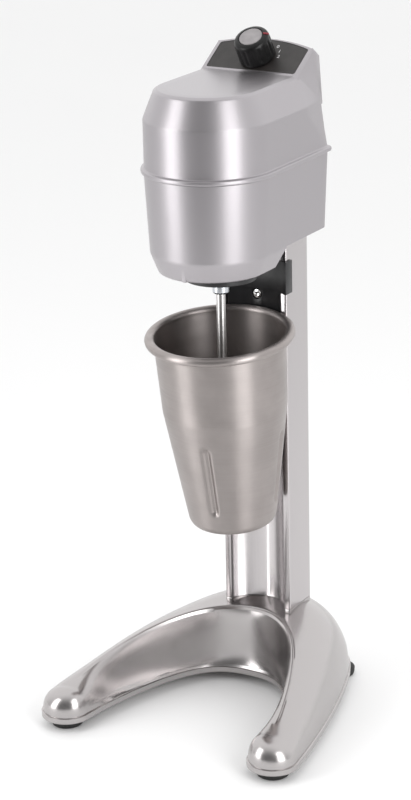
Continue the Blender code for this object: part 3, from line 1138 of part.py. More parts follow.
def cup_profile():
    """From the middle of the floor inside, up the wall, over the rolled rim and down the outside."""
    bead = CUP_RIM_RADIUS - CUP_BEAD_RADIUS
    wall_top = CUP_RIM_RADIUS - 2 * CUP_BEAD_RADIUS
    bottom_wall = CUP_BOTTOM_RADIUS + 0.0016
    floor = FLOOR_LIFT - CUP_DEPTH
    inner = [(0, floor + CUP_WALL), (CUP_BOTTOM_RADIUS - 0.0045, floor + CUP_WALL),
             (bottom_wall - CUP_WALL, -CUP_DEPTH + FLOOR_ROUNDING + CUP_WALL),
             (CUP_KNEE_RADIUS - CUP_WALL, -CUP_KNEE_DEPTH)]
    rim = []
    for degrees in (180, 120, 60, 0, -60, -120):
        angle = math.radians(degrees)
        rim.append((bead + CUP_BEAD_RADIUS * math.cos(angle), CUP_BEAD_RADIUS * (math.sin(angle) - 1)))
    walls = [(wall_top, -2 * CUP_BEAD_RADIUS - 0.001), (CUP_KNEE_RADIUS, -CUP_KNEE_DEPTH),
             (bottom_wall, -CUP_DEPTH + FLOOR_ROUNDING), (CUP_BOTTOM_RADIUS + 0.0002, -CUP_DEPTH + 0.001),
             (CUP_BOTTOM_RADIUS - 0.0015, -CUP_DEPTH)]
    under = [(CUP_BOTTOM_RADIUS - 0.0040, floor), (0, floor)]
    return inner + rim + walls + under


turned("cup", cup_profile(), STEEL, steps=44, at=(0, CUP_RIM_Y, CUP_RIM_HEIGHT), tilt=CUP_TILT)
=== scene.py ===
# %% [markdown]
# # A bar milkshake mixer, piece by piece
#
# The mixer is already designed: its parts have their real sizes, and they already move. This
# lesson gives it its looks. The fixed parts are loaded as a frame, and wherever the frame is too
# plain, a finer piece takes its place: the polished base, the extruded column, the painted head,
# the brushed cup, and the knob with its dial.
#
# %% The fixed frame
import json
import math

import bmesh
import bpy
from mathutils import Matrix, Vector


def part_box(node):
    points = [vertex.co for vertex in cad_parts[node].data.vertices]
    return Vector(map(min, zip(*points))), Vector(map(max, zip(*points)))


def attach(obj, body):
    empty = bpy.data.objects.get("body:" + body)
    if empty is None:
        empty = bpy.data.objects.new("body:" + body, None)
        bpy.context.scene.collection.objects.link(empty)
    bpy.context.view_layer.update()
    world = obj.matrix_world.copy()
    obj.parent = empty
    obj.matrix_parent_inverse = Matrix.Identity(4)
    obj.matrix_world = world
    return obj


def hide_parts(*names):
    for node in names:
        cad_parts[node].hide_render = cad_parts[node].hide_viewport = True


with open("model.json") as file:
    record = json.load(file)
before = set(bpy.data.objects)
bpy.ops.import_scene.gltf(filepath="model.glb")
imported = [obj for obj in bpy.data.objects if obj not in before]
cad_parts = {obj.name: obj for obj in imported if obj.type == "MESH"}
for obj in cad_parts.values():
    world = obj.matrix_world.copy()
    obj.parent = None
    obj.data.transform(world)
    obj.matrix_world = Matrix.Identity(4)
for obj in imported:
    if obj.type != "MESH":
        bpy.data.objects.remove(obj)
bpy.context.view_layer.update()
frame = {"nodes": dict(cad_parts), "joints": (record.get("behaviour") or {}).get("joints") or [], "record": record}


# %% [markdown]
# Every place comes from the frame. The spindle stands in the middle of the head's round front, so
# everything on the mixer is measured from the spindle's axis, and one shift along Y puts a
# finished piece where the frame has it.
#
# %% Places read from the frame
def low(node):
    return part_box(node)[0]


def high(node):
    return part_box(node)[1]


SPINDLE_Y = ((low("spindle_shaft") + high("spindle_shaft")) / 2).y
joints = {joint["name"]: joint for joint in frame["joints"]}
print("the spindle stands at y =", round(SPINDLE_Y, 5))


# %% [markdown]
# Three helpers are used all through. `rounded` softens the corners of a path with short curves,
# and works for a path of any kind: a profile, an outline, or a list of measures. `sheet` starts
# from Blender's grid of squares and moves each corner of it to a place on the shape, which is the
# simplest way to make a smooth surface that follows a rule. `piece` turns the result into an
# object that rides on a body of the frame.
#
# %% Helpers for shapes
TINY = 0.000004


def rounded(path, reach, steps=4, closed=False):
    """A path whose corners become short curves that start this far before each corner."""
    points = [Vector(point) for point in path]
    count = len(points)
    smooth = []
    for i, corner in enumerate(points):
        if not closed and i in (0, count - 1):
            smooth.append(corner)
            continue
        before = points[i - 1] - corner
        after = points[(i + 1) % count] - corner
        if min(before.length, after.length) < TINY:
            smooth.append(corner)
            continue
        start = corner + before * min(0.45, reach / before.length)
        end = corner + after * min(0.45, reach / after.length)
        for step in range(steps + 1):
            t = step / steps
            smooth.append(start * (1 - t) ** 2 + corner * 2 * t * (1 - t) + end * t ** 2)
    return smooth


def divided(path, longest):
    """The same path with its long stretches divided."""
    points = [path[0]]
    for a, b in zip(path, path[1:]):
        parts = max(1, math.ceil((b - a).length / longest))
        points += [a.lerp(b, i / parts) for i in range(1, parts + 1)]
    return points


def sheet(columns, rows, place):
    """A grid of squares with each corner moved to place(column, row), and its seams merged."""
    bm = bmesh.new()
    bmesh.ops.create_grid(bm, x_segments=columns, y_segments=rows, size=1.0)
    for vert in bm.verts:
        column = round((vert.co.x + 1) / 2 * columns)
        row = round((vert.co.y + 1) / 2 * rows)
        vert.co = place(column, row)
    bmesh.ops.remove_doubles(bm, verts=bm.verts, dist=TINY)
    return bm


def close_holes(bm):
    """Caps every open end with one face."""
    edges = [edge for edge in bm.edges if edge.is_boundary]
    bmesh.ops.holes_fill(bm, edges=edges, sides=0)


def stack(rings, capped=True):
    """A skin through rings that have the same number of points."""
    count = len(rings[0])
    bm = sheet(count, len(rings) - 1, lambda column, row: rings[row][column % count])
    if capped:
        close_holes(bm)
    return bm


def turned(profile, steps=96):
    """A path of (radius, height) points turned about the Z axis."""
    def place(column, row):
        angle = 2 * math.pi * (column % steps) / steps
        radius, height = profile[row][0], profile[row][1]
        return Vector((radius * math.cos(angle), radius * math.sin(angle), height))
    return sheet(steps, len(profile) - 1, place)


def piece(name, bm, material, body, *nodes, place=None, crease=35, slot=None):
    """An object made of this mesh, which rides on a body and stands for some CAD nodes."""
    if place is not None:
        bmesh.ops.transform(bm, matrix=place, verts=bm.verts)
    bmesh.ops.translate(bm, vec=(0, SPINDLE_Y, 0), verts=bm.verts)
    bmesh.ops.recalc_face_normals(bm, faces=bm.faces)
    mesh = bpy.data.meshes.new(name)
    bm.to_mesh(mesh)
    bm.free()
    mesh.shade_smooth()
    mesh.set_sharp_from_angle(angle=math.radians(crease))
    mesh.materials.append(material)
    made = bpy.data.objects.new(name, mesh)
    bpy.context.scene.collection.objects.link(made)
    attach(made, body)
    if nodes:
        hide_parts(*nodes)
    print(name, "has", len(mesh.polygons), "faces")
    return made


# %% [markdown]
# ## Finishes
#
# Each finish is a small node tree on a Principled shader. The patterns read Object coordinates,
# in metres, so a scale of 1000 gives a grain of one millimetre. Metal gets its character from
# roughness and bump more than from colour: an even mirror looks like plastic, while a slightly
# wavy one with fine lines looks like metal that someone has polished.
#
# %% Helpers for finishes
def new_finish(name, colour, roughness, metallic=0.0, **settings):
    """A material with its constants set on the shader itself, and its nodes to hand."""
    material = bpy.data.materials.new(name)
    material.use_nodes = True
    shader = material.node_tree.nodes["Principled BSDF"]
    shader.inputs["Base Color"].default_value = (*colour, 1.0)
    shader.inputs["Roughness"].default_value = roughness
    shader.inputs["Metallic"].default_value = metallic
    for key, value in settings.items():
        shader.inputs[key.replace("_", " ")].default_value = value
    return material


def noise(material, scale, detail=3.0, stretch=(1, 1, 1), turn=(0, 0, 0)):
    """A noise pattern on Object coordinates, stretched along one axis for brushed metal."""
    nodes, links = material.node_tree.nodes, material.node_tree.links
    where = nodes.new("ShaderNodeTexCoord")
    mapping = nodes.new("ShaderNodeMapping")
    mapping.inputs["Rotation"].default_value = turn
    mapping.inputs["Scale"].default_value = stretch
    pattern = nodes.new("ShaderNodeTexNoise")
    pattern.inputs["Scale"].default_value = scale
    pattern.inputs["Detail"].default_value = detail
    links.new(where.outputs["Object"], mapping.inputs["Vector"])
    links.new(mapping.outputs["Vector"], pattern.inputs["Vector"])
    return pattern.outputs["Fac"]


def vary_roughness(material, pattern, lowest, highest):
    """The roughness follows a pattern between two values."""
    nodes, links = material.node_tree.nodes, material.node_tree.links
    spread = nodes.new("ShaderNodeMapRange")
    spread.inputs["From Min"].default_value = 0.3
    spread.inputs["From Max"].default_value = 0.7
    spread.inputs["To Min"].default_value = lowest
    spread.inputs["To Max"].default_value = highest
    links.new(pattern, spread.inputs["Value"])
    links.new(spread.outputs["Result"], nodes["Principled BSDF"].inputs["Roughness"])


def vary_colour(material, pattern, first, second):
    """The colour follows a pattern between two colours."""
    nodes, links = material.node_tree.nodes, material.node_tree.links
    ramp = nodes.new("ShaderNodeValToRGB")
    ramp.color_ramp.elements[0].position = 0.35
    ramp.color_ramp.elements[0].color = (*first, 1.0)
    ramp.color_ramp.elements[1].position = 0.65
    ramp.color_ramp.elements[1].color = (*second, 1.0)
    links.new(pattern, ramp.inputs["Fac"])
    links.new(ramp.outputs["Color"], nodes["Principled BSDF"].inputs["Base Color"])


def bump(material, pattern, height):
    """A relief of this height in metres; a second call adds to the first."""
    nodes, links = material.node_tree.nodes, material.node_tree.links
    relief = nodes.new("ShaderNodeBump")
    relief.inputs["Distance"].default_value = height
    target = nodes["Principled BSDF"].inputs["Normal"]
    if target.is_linked:
        links.new(target.links[0].from_socket, relief.inputs["Normal"])
    links.new(pattern, relief.inputs["Height"])
    links.new(relief.outputs["Normal"], target)


# %% [markdown]
# The base is cast aluminium, ground and polished by hand. It mirrors the lamps, but its surface
# still rolls gently from the grinding, and fine polishing lines break up the reflections. The
# column is an extrusion of the same metal with lines that run along it.
#
# %% Aluminium
def polished_aluminium():
    material = new_finish("polished_aluminium", (0.45, 0.43, 0.428), 0.24, 1.0)
    vary_roughness(material, noise(material, 90, 2.0), 0.22, 0.27)
    bump(material, noise(material, 28, 2.0), 0.00005)
    bump(material, noise(material, 900, 2.0, stretch=(1, 0.25, 0.4)), 0.000002)
    return material


def extruded_aluminium():
    material = new_finish("extruded_aluminium", (0.54, 0.515, 0.52), 0.2, 1.0)
    vary_roughness(material, noise(material, 1400, 3.0, stretch=(1, 1, 0.01)), 0.21, 0.26)
    bump(material, noise(material, 1600, 3.0, stretch=(1, 1, 0.006)), 0.000004)
    return material


POLISHED = polished_aluminium()
EXTRUDED = extruded_aluminium()


# %% [markdown]
# The head is painted with silver enamel: metal flakes in a clear binder. The flakes are a fine
# noise in the roughness and bump, and the coat on the shader is the clear binder over them. The
# cup is brushed round and round on a lathe, so its lines are level. It hangs at a slight tilt, so
# the pattern is turned by the same angle before it is stretched.
#
# %% Silver paint and brushed steel
CUP_TILT = math.radians(5.64)


def silver_paint():
    material = new_finish("silver_paint", (0.40, 0.38, 0.397), 0.3, 0.88, Coat_Weight=0.18,
                          Coat_Roughness=0.16)
    flakes = noise(material, 2600, 2.0)
    vary_roughness(material, flakes, 0.34, 0.43)
    bump(material, noise(material, 700, 3.0), 0.000009)
    bump(material, flakes, 0.000004)
    return material


def brushed_steel():
    material = new_finish("brushed_steel", (0.37, 0.34, 0.33), 0.4, 1.0, Anisotropic=0.8,
                          Anisotropic_Rotation=0.25)
    turn = (-CUP_TILT, 0, 0)
    lines = noise(material, 700, 4.0, stretch=(0.02, 0.02, 3.0), turn=turn)
    vary_roughness(material, lines, 0.34, 0.48)
    vary_colour(material, noise(material, 45, 4.0, turn=turn), (0.35, 0.32, 0.31), (0.39, 0.355, 0.345))
    bump(material, lines, 0.00002)
    return material


PAINT = silver_paint()
CUP_STEEL = brushed_steel()


# %% [markdown]
# Plastics and rubber need a fine grain and a roughness that is never quite even. Steel parts
# that were ground or plated differ mainly in how sharp their reflections are.
#
# %% Plastics, rubber and small metal parts
def grained(name, colour, roughness, grain=1800, depth=0.00002, **settings):
    """A moulded plastic or rubber with a fine grain."""
    material = new_finish(name, colour, roughness, **settings)
    pattern = noise(material, grain, 2.0)
    vary_roughness(material, pattern, roughness - 0.06, roughness + 0.08)
    lighter = tuple(value * 1.35 + 0.002 for value in colour)
    vary_colour(material, noise(material, 120, 3.0), colour, lighter)
    bump(material, pattern, depth)
    return material


def small_metal(name, colour, lowest, highest, stretch=(1, 1, 1), scale=600, **settings):
    """A plain metal whose roughness and surface vary finely."""
    material = new_finish(name, colour, lowest, 1.0, **settings)
    pattern = noise(material, scale, 3.0, stretch=stretch)
    vary_roughness(material, pattern, lowest, highest)
    bump(material, pattern, 0.000008)
    return material


BLACK_PLASTIC = grained("black_plastic", (0.012, 0.012, 0.013), 0.34)
PANEL_BLACK = grained("panel_black", (0.022, 0.019, 0.018), 0.42, grain=2600, depth=0.000012)
KNOB_BLACK = grained("knob_black", (0.006, 0.006, 0.006), 0.32, grain=2400, depth=0.000008,
                    Specular_IOR_Level=0.3)
KNOB_GREY = grained("knob_grey", (0.26, 0.245, 0.25), 0.34, depth=0.000006)
POINTER_RED = grained("pointer_red", (0.22, 0.01, 0.02), 0.4, depth=0.000006)
MARK_WHITE = grained("mark_white", (0.62, 0.62, 0.62), 0.5, depth=0.000006)
RUBBER = grained("black_rubber", (0.010, 0.010, 0.010), 0.62, grain=900, depth=0.00004)
MOULDED = grained("moulded_black", (0.03, 0.03, 0.032), 0.5)
FAN_GREY = grained("fan_grey", (0.34, 0.34, 0.35), 0.5)
CARBON = grained("pressed_carbon", (0.03, 0.03, 0.03), 0.7, grain=1200, depth=0.00005)
SPINDLE_STEEL = small_metal("ground_steel", (0.66, 0.65, 0.64), 0.28, 0.38,
                            stretch=(0.1, 0.1, 4), Anisotropic=0.8, Anisotropic_Rotation=0.25)
SCREW_STEEL = small_metal("bright_steel", (0.82, 0.82, 0.82), 0.10, 0.20)
ZINC = small_metal("zinc_plate", (0.60, 0.62, 0.65), 0.22, 0.38)
COPPER = small_metal("enamelled_copper", (0.70, 0.28, 0.10), 0.22, 0.34, stretch=(1, 1, 6),
                     scale=900)
LAMINATION = small_metal("laminated_steel", (0.26, 0.26, 0.28), 0.35, 0.55, stretch=(0.02, 0.02, 2),
                         scale=1500)


# %% [markdown]
# The record of the mixer says which finish each fixed part has. Every part of the frame gets one
# here, those inside the head too, because a finish belongs to the part and not to the view.
#
# %% Finishes for the fixed parts
FINISH_OF_SLOT = {
    "polished_aluminium": POLISHED, "satin_aluminium": EXTRUDED, "silver_head": PAINT,
    "brushed_steel": CUP_STEEL, "spindle_steel": SPINDLE_STEEL, "black_plastic": BLACK_PLASTIC,
    "knob_black": KNOB_BLACK, "knob_grey": KNOB_GREY, "rubber": RUBBER,
    "bright_screw": SCREW_STEEL, "copper": COPPER, "lamination": LAMINATION,
    "moulded_black": MOULDED, "carbon": CARBON, "fan_grey": FAN_GREY, "zinc": ZINC,
}
for part in frame["record"]["subparts"]:
    mesh = frame["nodes"][part["node"]].data
    mesh.materials.clear()
    mesh.materials.append(FINISH_OF_SLOT[part["material_slot"]])


# %% [markdown]
# ## The base
#
# The base is a horseshoe with a sharp crest along each leg. Inside the crest the metal rolls over
# and drops steeply, then flares into a thin lip. Outside it falls away in a broad, slightly domed
# slope. One sheet covers it: each rib of the sheet starts on the crest and runs down to the lip.
# The ribs go along the outside of a leg, fan out round the toe, and come back along the inside.
# The other leg is a mirror image.
#
# %% Lines that the base follows
TOE_RADIUS = 0.0188
TOE = Vector((high("base_casting").x - TOE_RADIUS, low("base_casting").y - SPINDLE_Y + TOE_RADIUS))
BASE_REAR = high("base_casting").y - SPINDLE_Y
REAR_RADIUS = 0.064
REAR_TURN = 66
REAR_POINTS = 5
BULGE = 0.0045
BULGE_DIRECTION = Vector((0.95, 0.3))
BASE_FLOOR = low("base_casting").z
STUB_TOP = high("base_casting").z
LIP_HEIGHT = 0.0045
LIP_STEP = 0.0012
CREST_HEIGHT = 0.058
CREST_TOE_HEIGHT = 0.0295
CREST_START = Vector((0, 0.042))
CREST_END = TOE - Vector((0.0043, 0))
ARCH_START = Vector((0, 0.031))
ARCH_END = TOE - Vector((TOE_RADIUS, 0))
LEG_RIBS = 72
TOE_RIBS = 40
LINE_POINTS = 60


def through(points, count, mirrored=False):
    """Evenly spaced points on a smooth curve through a few given ones."""
    before = Vector((-points[1].x, points[1].y)) if mirrored else points[0] * 2 - points[1]
    ends = [before] + points + [points[-1] * 2 - points[-2]]
    fine = []
    for a, b, c, d in zip(ends, ends[1:], ends[2:], ends[3:]):
        for step in range(24):
            t = step / 24
            fine.append(0.5 * (2 * b + (c - a) * t + (2 * a - 5 * b + 4 * c - d) * t ** 2
                               + (3 * b - a - 3 * c + d) * t ** 3))
    fine.append(points[-1])
    reach = [0.0]
    for a, b in zip(fine, fine[1:]):
        reach.append(reach[-1] + (b - a).length)
    path = []
    k = 0
    for i in range(count + 1):
        goal = reach[-1] * i / count
        while k < len(reach) - 2 and reach[k + 1] < goal:
            k += 1
        path.append(fine[k].lerp(fine[k + 1], (goal - reach[k]) / (reach[k + 1] - reach[k])))
    for turn in range(count // 2):
        path[1:-1] = [(a + b * 2 + c) / 4 for a, b, c in zip(path, path[1:], path[2:])]
        if mirrored:
            path[0] = Vector((0, path[0].y * 0.5 + path[1].y * 0.5))
    return path


def shares(start, end, parts):
    """Points between two corners, each given by its share of the way along X and along Y."""
    return [Vector((start.x + (end.x - start.x) * a, start.y + (end.y - start.y) * b)) for a, b in parts]


turns = [math.sin(math.pi / 2 * i / LINE_POINTS) for i in range(LINE_POINTS + 1)]
crest_line = through(shares(CREST_START, CREST_END, [(x, 1 - (1 - x ** 2) ** 0.74) for x in turns]),
                     LEG_RIBS, True)
inner_line = through(shares(ARCH_START, ARCH_END, [(x, 1 - (1 - x ** 3) ** 0.83) for x in turns]),
                     LEG_RIBS, True)
rear_arc = []
for i in range(REAR_POINTS + 1):
    angle = math.radians(90 - REAR_TURN * i / REAR_POINTS)
    rear_arc.append(Vector((REAR_RADIUS * math.cos(angle),
                            BASE_REAR - REAR_RADIUS + REAR_RADIUS * math.sin(angle))))
outer_line = through(rear_arc + shares(rear_arc[-1], TOE + Vector((TOE_RADIUS, 0)), [
    (0.216, 0.172), (0.41, 0.342), (0.608, 0.539), (0.764, 0.712), (0.89, 0.857), (1, 1)]), LEG_RIBS)
outer_line = [p + BULGE_DIRECTION * BULGE * math.sin(math.pi * i / LEG_RIBS) ** 0.8
              for i, p in enumerate(outer_line)]
print("the crest is", round(sum((b - a).length for a, b in zip(crest_line, crest_line[1:])), 3), "m long")


# %% [markdown]
# A rib's own shape is given as shares: how far out, and how high. The outside runs from a full
# dome behind the column to a flatter one along the legs. The inside is a rolled-over drop, and
# its ribs are evened out among themselves. Towards the toe both blend into one round dome. A
# narrow valley runs along the outside of the crest.
#
# %% The surface of the base
INSIDE_POINTS = [(0.0, 1.0), (0.06, 0.985), (0.13, 0.94), (0.19, 0.86), (0.24, 0.74), (0.29, 0.60),
                 (0.35, 0.45), (0.43, 0.31), (0.54, 0.19), (0.68, 0.095), (0.84, 0.03), (1.0, 0.0)]
NEAR = [0.0, 0.0004, 0.0008, 0.0012, 0.0016, 0.0021, 0.0026, 0.0032, 0.0040, 0.0050]
FAR_POINTS = 20
RIB_POINTS = len(NEAR) + FAR_POINTS - 1
INSIDE = through([Vector(point) for point in INSIDE_POINTS], RIB_POINTS)
OUTER_BLEND, INNER_BLEND = 0.80, 0.76
EVENING_TURNS = 40
UNEVENED_ROWS = 3
VALLEY_DEPTH = 0.0011
VALLEY_WIDTH = 0.0034
DOME_RISE = 0.0038
DOME_WIDTH = 0.034


def eased(t):
    t = min(1.0, max(0.0, t))
    return t * t * (3 - 2 * t)


def outside(fullness, reach):
    """The outer side: a dome when full, a gentle slope when not. Its first steps are short."""
    power = 2.2 + 1.6 * fullness
    root = 0.62 - 0.04 * fullness
    steps = [near / reach for near in NEAR]
    start = steps[-1]
    steps += [start + (1 - start) * (i / FAR_POINTS) ** 0.85 for i in range(1, FAR_POINTS + 1)]
    return [Vector((s, (1 - min(1.0, s) ** power) ** root)) for s in steps[:RIB_POINTS + 1]]


def dome():
    """A full round cross-section for the toe."""
    turns = [math.pi / 2 * i / RIB_POINTS for i in range(RIB_POINTS + 1)]
    return [Vector((math.sin(t) ** 0.9, math.cos(t) ** 0.8)) for t in turns]


def mixed(first, second, share):
    return [a.lerp(b, share) for a, b in zip(first, second)]


def rib(top, height, edge, side, rise=0.0, valley=0.0):
    """A rib from the crest down to the lip, and down the lip to the underside."""
    out = edge - top
    ledge = 1 - LIP_STEP / out.length
    lip = BASE_FLOOR + LIP_HEIGHT
    points = []
    for share, level in side:
        spot = top + out * (share * ledge)
        away = out.length * share * ledge
        z = lip + (height + rise - lip) * level
        z -= rise * (1 - eased(away / DOME_WIDTH))
        across = min(1.0, away / VALLEY_WIDTH)
        z -= valley * 4 * across * (1 - across)
        points.append(Vector((spot.x, spot.y, z)))
    points += [Vector((edge.x, edge.y, lip - LIP_STEP * drop)) for drop in (0.25, 1.0)]
    points += [Vector((edge.x, edge.y, BASE_FLOOR + 0.0006)),
               Vector((*(edge - out.normalized() * 0.0006), BASE_FLOOR))]
    return points


ribs = []
crest_heights = []
for spot in crest_line:
    along = max(0.0, (crest_line[0].y - spot.y) / (crest_line[0].y - CREST_END.y))
    crest_heights.append(CREST_HEIGHT - (CREST_HEIGHT - CREST_TOE_HEIGHT) * along ** 1.6)
for i in range(LEG_RIBS + 1):
    share = i / LEG_RIBS
    reach = (outer_line[i] - crest_line[i]).length
    side = mixed(outside(1 - eased(share / 0.75), reach), dome(),
                 eased((share - OUTER_BLEND) / (1 - OUTER_BLEND)))
    behind = 1 - eased((crest_line[i].x - 0.015) / 0.035)
    ribs.append(rib(crest_line[i], crest_heights[i], outer_line[i], side, DOME_RISE * behind,
                    VALLEY_DEPTH * (1 - eased((share - 0.88) / 0.09))))
for k in range(1, TOE_RIBS):
    angle = math.pi * k / TOE_RIBS
    edge = TOE + TOE_RADIUS * Vector((math.cos(angle), -math.sin(angle)))
    ribs.append(rib(CREST_END, crest_heights[-1], edge, dome()))
for i in reversed(range(LEG_RIBS + 1)):
    side = mixed(INSIDE, dome(), eased((i / LEG_RIBS - INNER_BLEND) / (1 - INNER_BLEND)))
    ribs.append(rib(crest_line[i], crest_heights[i], inner_line[i], side))

leg_end = len(ribs) - LEG_RIBS - 1
for turn in range(EVENING_TURNS):
    before = ribs[leg_end:]
    for i in range(1, LEG_RIBS + 1):
        after = before[i + 1] if i < LEG_RIBS else [Vector((-p.x, p.y, p.z)) for p in before[i - 1]]
        for row in range(1, RIB_POINTS - UNEVENED_ROWS):
            ribs[leg_end + i][row] = (before[i - 1][row] + before[i][row] * 2 + after[row]) / 4

base = sheet(len(ribs) - 1, len(ribs[0]) - 1, lambda column, row: ribs[column][row])
bmesh.ops.mirror(base, geom=base.verts[:] + base.edges[:] + base.faces[:], axis="X", merge_dist=TINY)
bmesh.ops.remove_doubles(base, verts=base.verts, dist=TINY)
close_holes(base)
bmesh.ops.recalc_face_normals(base, faces=base.faces)
print("the base has", len(base.faces), "faces and", sum(e.is_boundary for e in base.edges), "open edges")


# %% [markdown]
# ## The column
#
# The column is an aluminium extrusion with a wide round groove down its front, where the cup's
# bracket sits. An extrusion is one outline pulled straight up, so the outline carries all the
# shape. A stub of the same outline is cast on the base, and a hairline seam shows where the two
# meet.
#
# %% Outline of the column
COLUMN_HALF = high("column").x
COLUMN_FRONT = low("column").y - SPINDLE_Y
COLUMN_BACK = high("column").y - SPINDLE_Y
GROOVE_DEPTH = 0.0165
RIB_NOSE = 0.0012
GROOVE_HALF = COLUMN_HALF - 0.00508
SAGITTA = GROOVE_DEPTH - RIB_NOSE
GROOVE_RADIUS = (GROOVE_HALF ** 2 + SAGITTA ** 2) / (2 * SAGITTA)
GROOVE_CENTRE = COLUMN_FRONT + GROOVE_DEPTH - GROOVE_RADIUS


def arc(centre, radius, start, end, count):
    """Points along an arc, angles in degrees, anticlockwise from +X."""
    turns = [math.radians(start + (end - start) * i / count) for i in range(count + 1)]
    return [Vector((centre[0] + radius * math.cos(t), centre[1] + radius * math.sin(t))) for t in turns]


def column_outline():
    """Flat back and sides, rounded ribs, and the groove between them."""
    half, front, back, nose = COLUMN_HALF, COLUMN_FRONT, COLUMN_BACK, RIB_NOSE
    mouth = math.degrees(math.asin((front + nose - GROOVE_CENTRE) / GROOVE_RADIUS))
    right = arc((half - nose, front + nose), nose, -90, 0, 8)
    right += arc((half - 0.0015, back - 0.0015), 0.0015, 0, 90, 8)
    left = [Vector((-p.x, p.y)) for p in reversed(right)]
    groove = arc((0, GROOVE_CENTRE), GROOVE_RADIUS, 180 - mouth, mouth, 72)
    lip = [Vector((GROOVE_HALF + nose * 0.7, front)),
           Vector((GROOVE_HALF + nose * 0.1, front + nose * 0.3))]
    return right + left + [Vector((-p.x, p.y)) for p in lip] + groove[1:-1] + list(reversed(lip))


def column_between(low_z, high_z, edge=0.00025):
    """A length of the column with a fine bevel round both ends."""
    outline = column_outline()
    middle = Vector((0, (COLUMN_FRONT + COLUMN_BACK) / 2))

    def level(z, inset):
        return [Vector((*(p + (middle - p).normalized() * inset), z)) for p in outline]
    return stack([level(low_z, edge), level(low_z + edge, 0), level(high_z - edge, 0), level(high_z, edge)])


piece("column_extrusion", column_between(low("column").z, high("column").z), EXTRUDED, "frame", "column",
      slot="satin_aluminium", crease=40)


# %% [markdown]
# The stub and the base are one casting. A Boolean union joins the two closed shapes exactly,
# which leaves the crisp line where the flat sides of the stub meet the domed base.
#
# %% The stub joined to the base
def to_object(name, bm):
    mesh = bpy.data.meshes.new(name)
    bm.to_mesh(mesh)
    bm.free()
    made = bpy.data.objects.new(name, mesh)
    bpy.context.scene.collection.objects.link(made)
    return made


def combined(first, second, operation):
    """The bmesh of two closed shapes joined or cut by an exact Boolean."""
    for bm in (first, second):
        bmesh.ops.recalc_face_normals(bm, faces=bm.faces)
    body, tool = to_object("body", first), to_object("tool", second)
    boolean = body.modifiers.new("boolean", "BOOLEAN")
    boolean.operation = operation
    boolean.object = tool
    graph = bpy.context.evaluated_depsgraph_get()
    mesh = bpy.data.meshes.new_from_object(body.evaluated_get(graph))
    result = bmesh.new()
    result.from_mesh(mesh)
    for used in (body, tool):
        bpy.data.objects.remove(used)
    bpy.data.meshes.remove(mesh)
    return result


casting = combined(base, column_between(STUB_TOP - 0.030, STUB_TOP), "UNION")
piece("polished_base", casting, POLISHED, "frame", "base_casting", slot="polished_aluminium", crease=30)


# %% [markdown]
# The feet are soft rubber buttons with a rounded edge and a hollow for their screw. A turned
# profile is the natural way to make anything round.
#
# %% Feet
for place in ("front_left", "front_right", "rear_left", "rear_right"):
    node = "foot_" + place
    spot = (low(node) + high(node)) / 2
    top = high(node).z
    radius = high(node).x - spot.x
    profile = rounded([(0.0024, top), (radius - 0.0012, top), (radius, top - 0.0012),
                       (radius - 0.0006, 0.0008), (radius - 0.0018, 0.0), (0.0052, 0.0),
                       (0.0042, 0.0036), (0.0024, 0.0036), (0.0024, top)], 0.0007)
    piece("rubber_" + node, turned(profile, 64), RUBBER, "frame", node, slot="rubber",
          place=Matrix.Translation((spot.x, spot.y - SPINDLE_Y, 0)))


# %% [markdown]
# ## The head
#
# The head is two painted shells that meet at a rolled bead. Seen from above it has a round front
# and straight sides. The lower shell narrows towards its bottom and steps up behind the spindle.
# The upper shell has a straight wall, a steep chamfer and a nearly flat crown. Both are stacks of
# outlines. The list of measures for the outlines is rounded first, so that each edge of the shell
# becomes a soft one.
#
# %% Outline of the head
FRONT_CENTRE = -0.0102
HEAD_REAR = high("head_lower_shell").y - SPINDLE_Y
HEAD_BOTTOM = low("head_lower_shell").z
REAR_FLOOR = high("column").z + 0.0003
SEAM = low("head_upper_shell").z + 0.015
SEAM_RADIUS = 0.0463
BEAD = 0.0018
FRONT_STEPS = 40


def head_ring(height, half, rear_half, break_y, rear, corner_drop):
    """The head's outline at one height, as points in order from the front."""
    right = arc((0, FRONT_CENTRE), half, -90, 0, FRONT_STEPS)
    corner = rear - corner_drop
    wall = [Vector((half, break_y)), Vector((rear_half, corner - 0.003)),
            Vector((rear_half - 0.003, corner)), Vector((rear_half * 0.5, corner + corner_drop * 0.75)),
            Vector((0, rear))]
    right += rounded([right[-1]] + wall, 0.0035, 6)[1:]
    left = [Vector((-p.x, p.y)) for p in reversed(right[1:-1])]
    return [Vector((p.x, p.y, height)) for p in right + left]


def head_skin(levels, reach):
    """A closed skin through outlines given by their measures, with softened edges."""
    return stack([head_ring(*level) for level in rounded(levels, reach, 5)])


print("the head runs from", round(HEAD_BOTTOM, 4), "with its seam at", round(SEAM, 4))


# %% [markdown]
# The lower shell is the stack with a wedge cut away under its rear half, where the head sits on
# the column.
#
# %% Lower shell
CHAMFER_TOP = HEAD_BOTTOM + 0.0140
BREAK_Y = HEAD_REAR - 0.012
REAR_CROWNING = 0.0006


def lower_level(height, half):
    return (height, half, half, BREAK_Y, HEAD_REAR, REAR_CROWNING)


lower_top = SEAM - BEAD - 0.0003
lower = head_skin([lower_level(HEAD_BOTTOM, 0.0350), lower_level(HEAD_BOTTOM, 0.0381),
                   lower_level(CHAMFER_TOP, 0.0435), lower_level(lower_top, SEAM_RADIUS)], 0.0016)

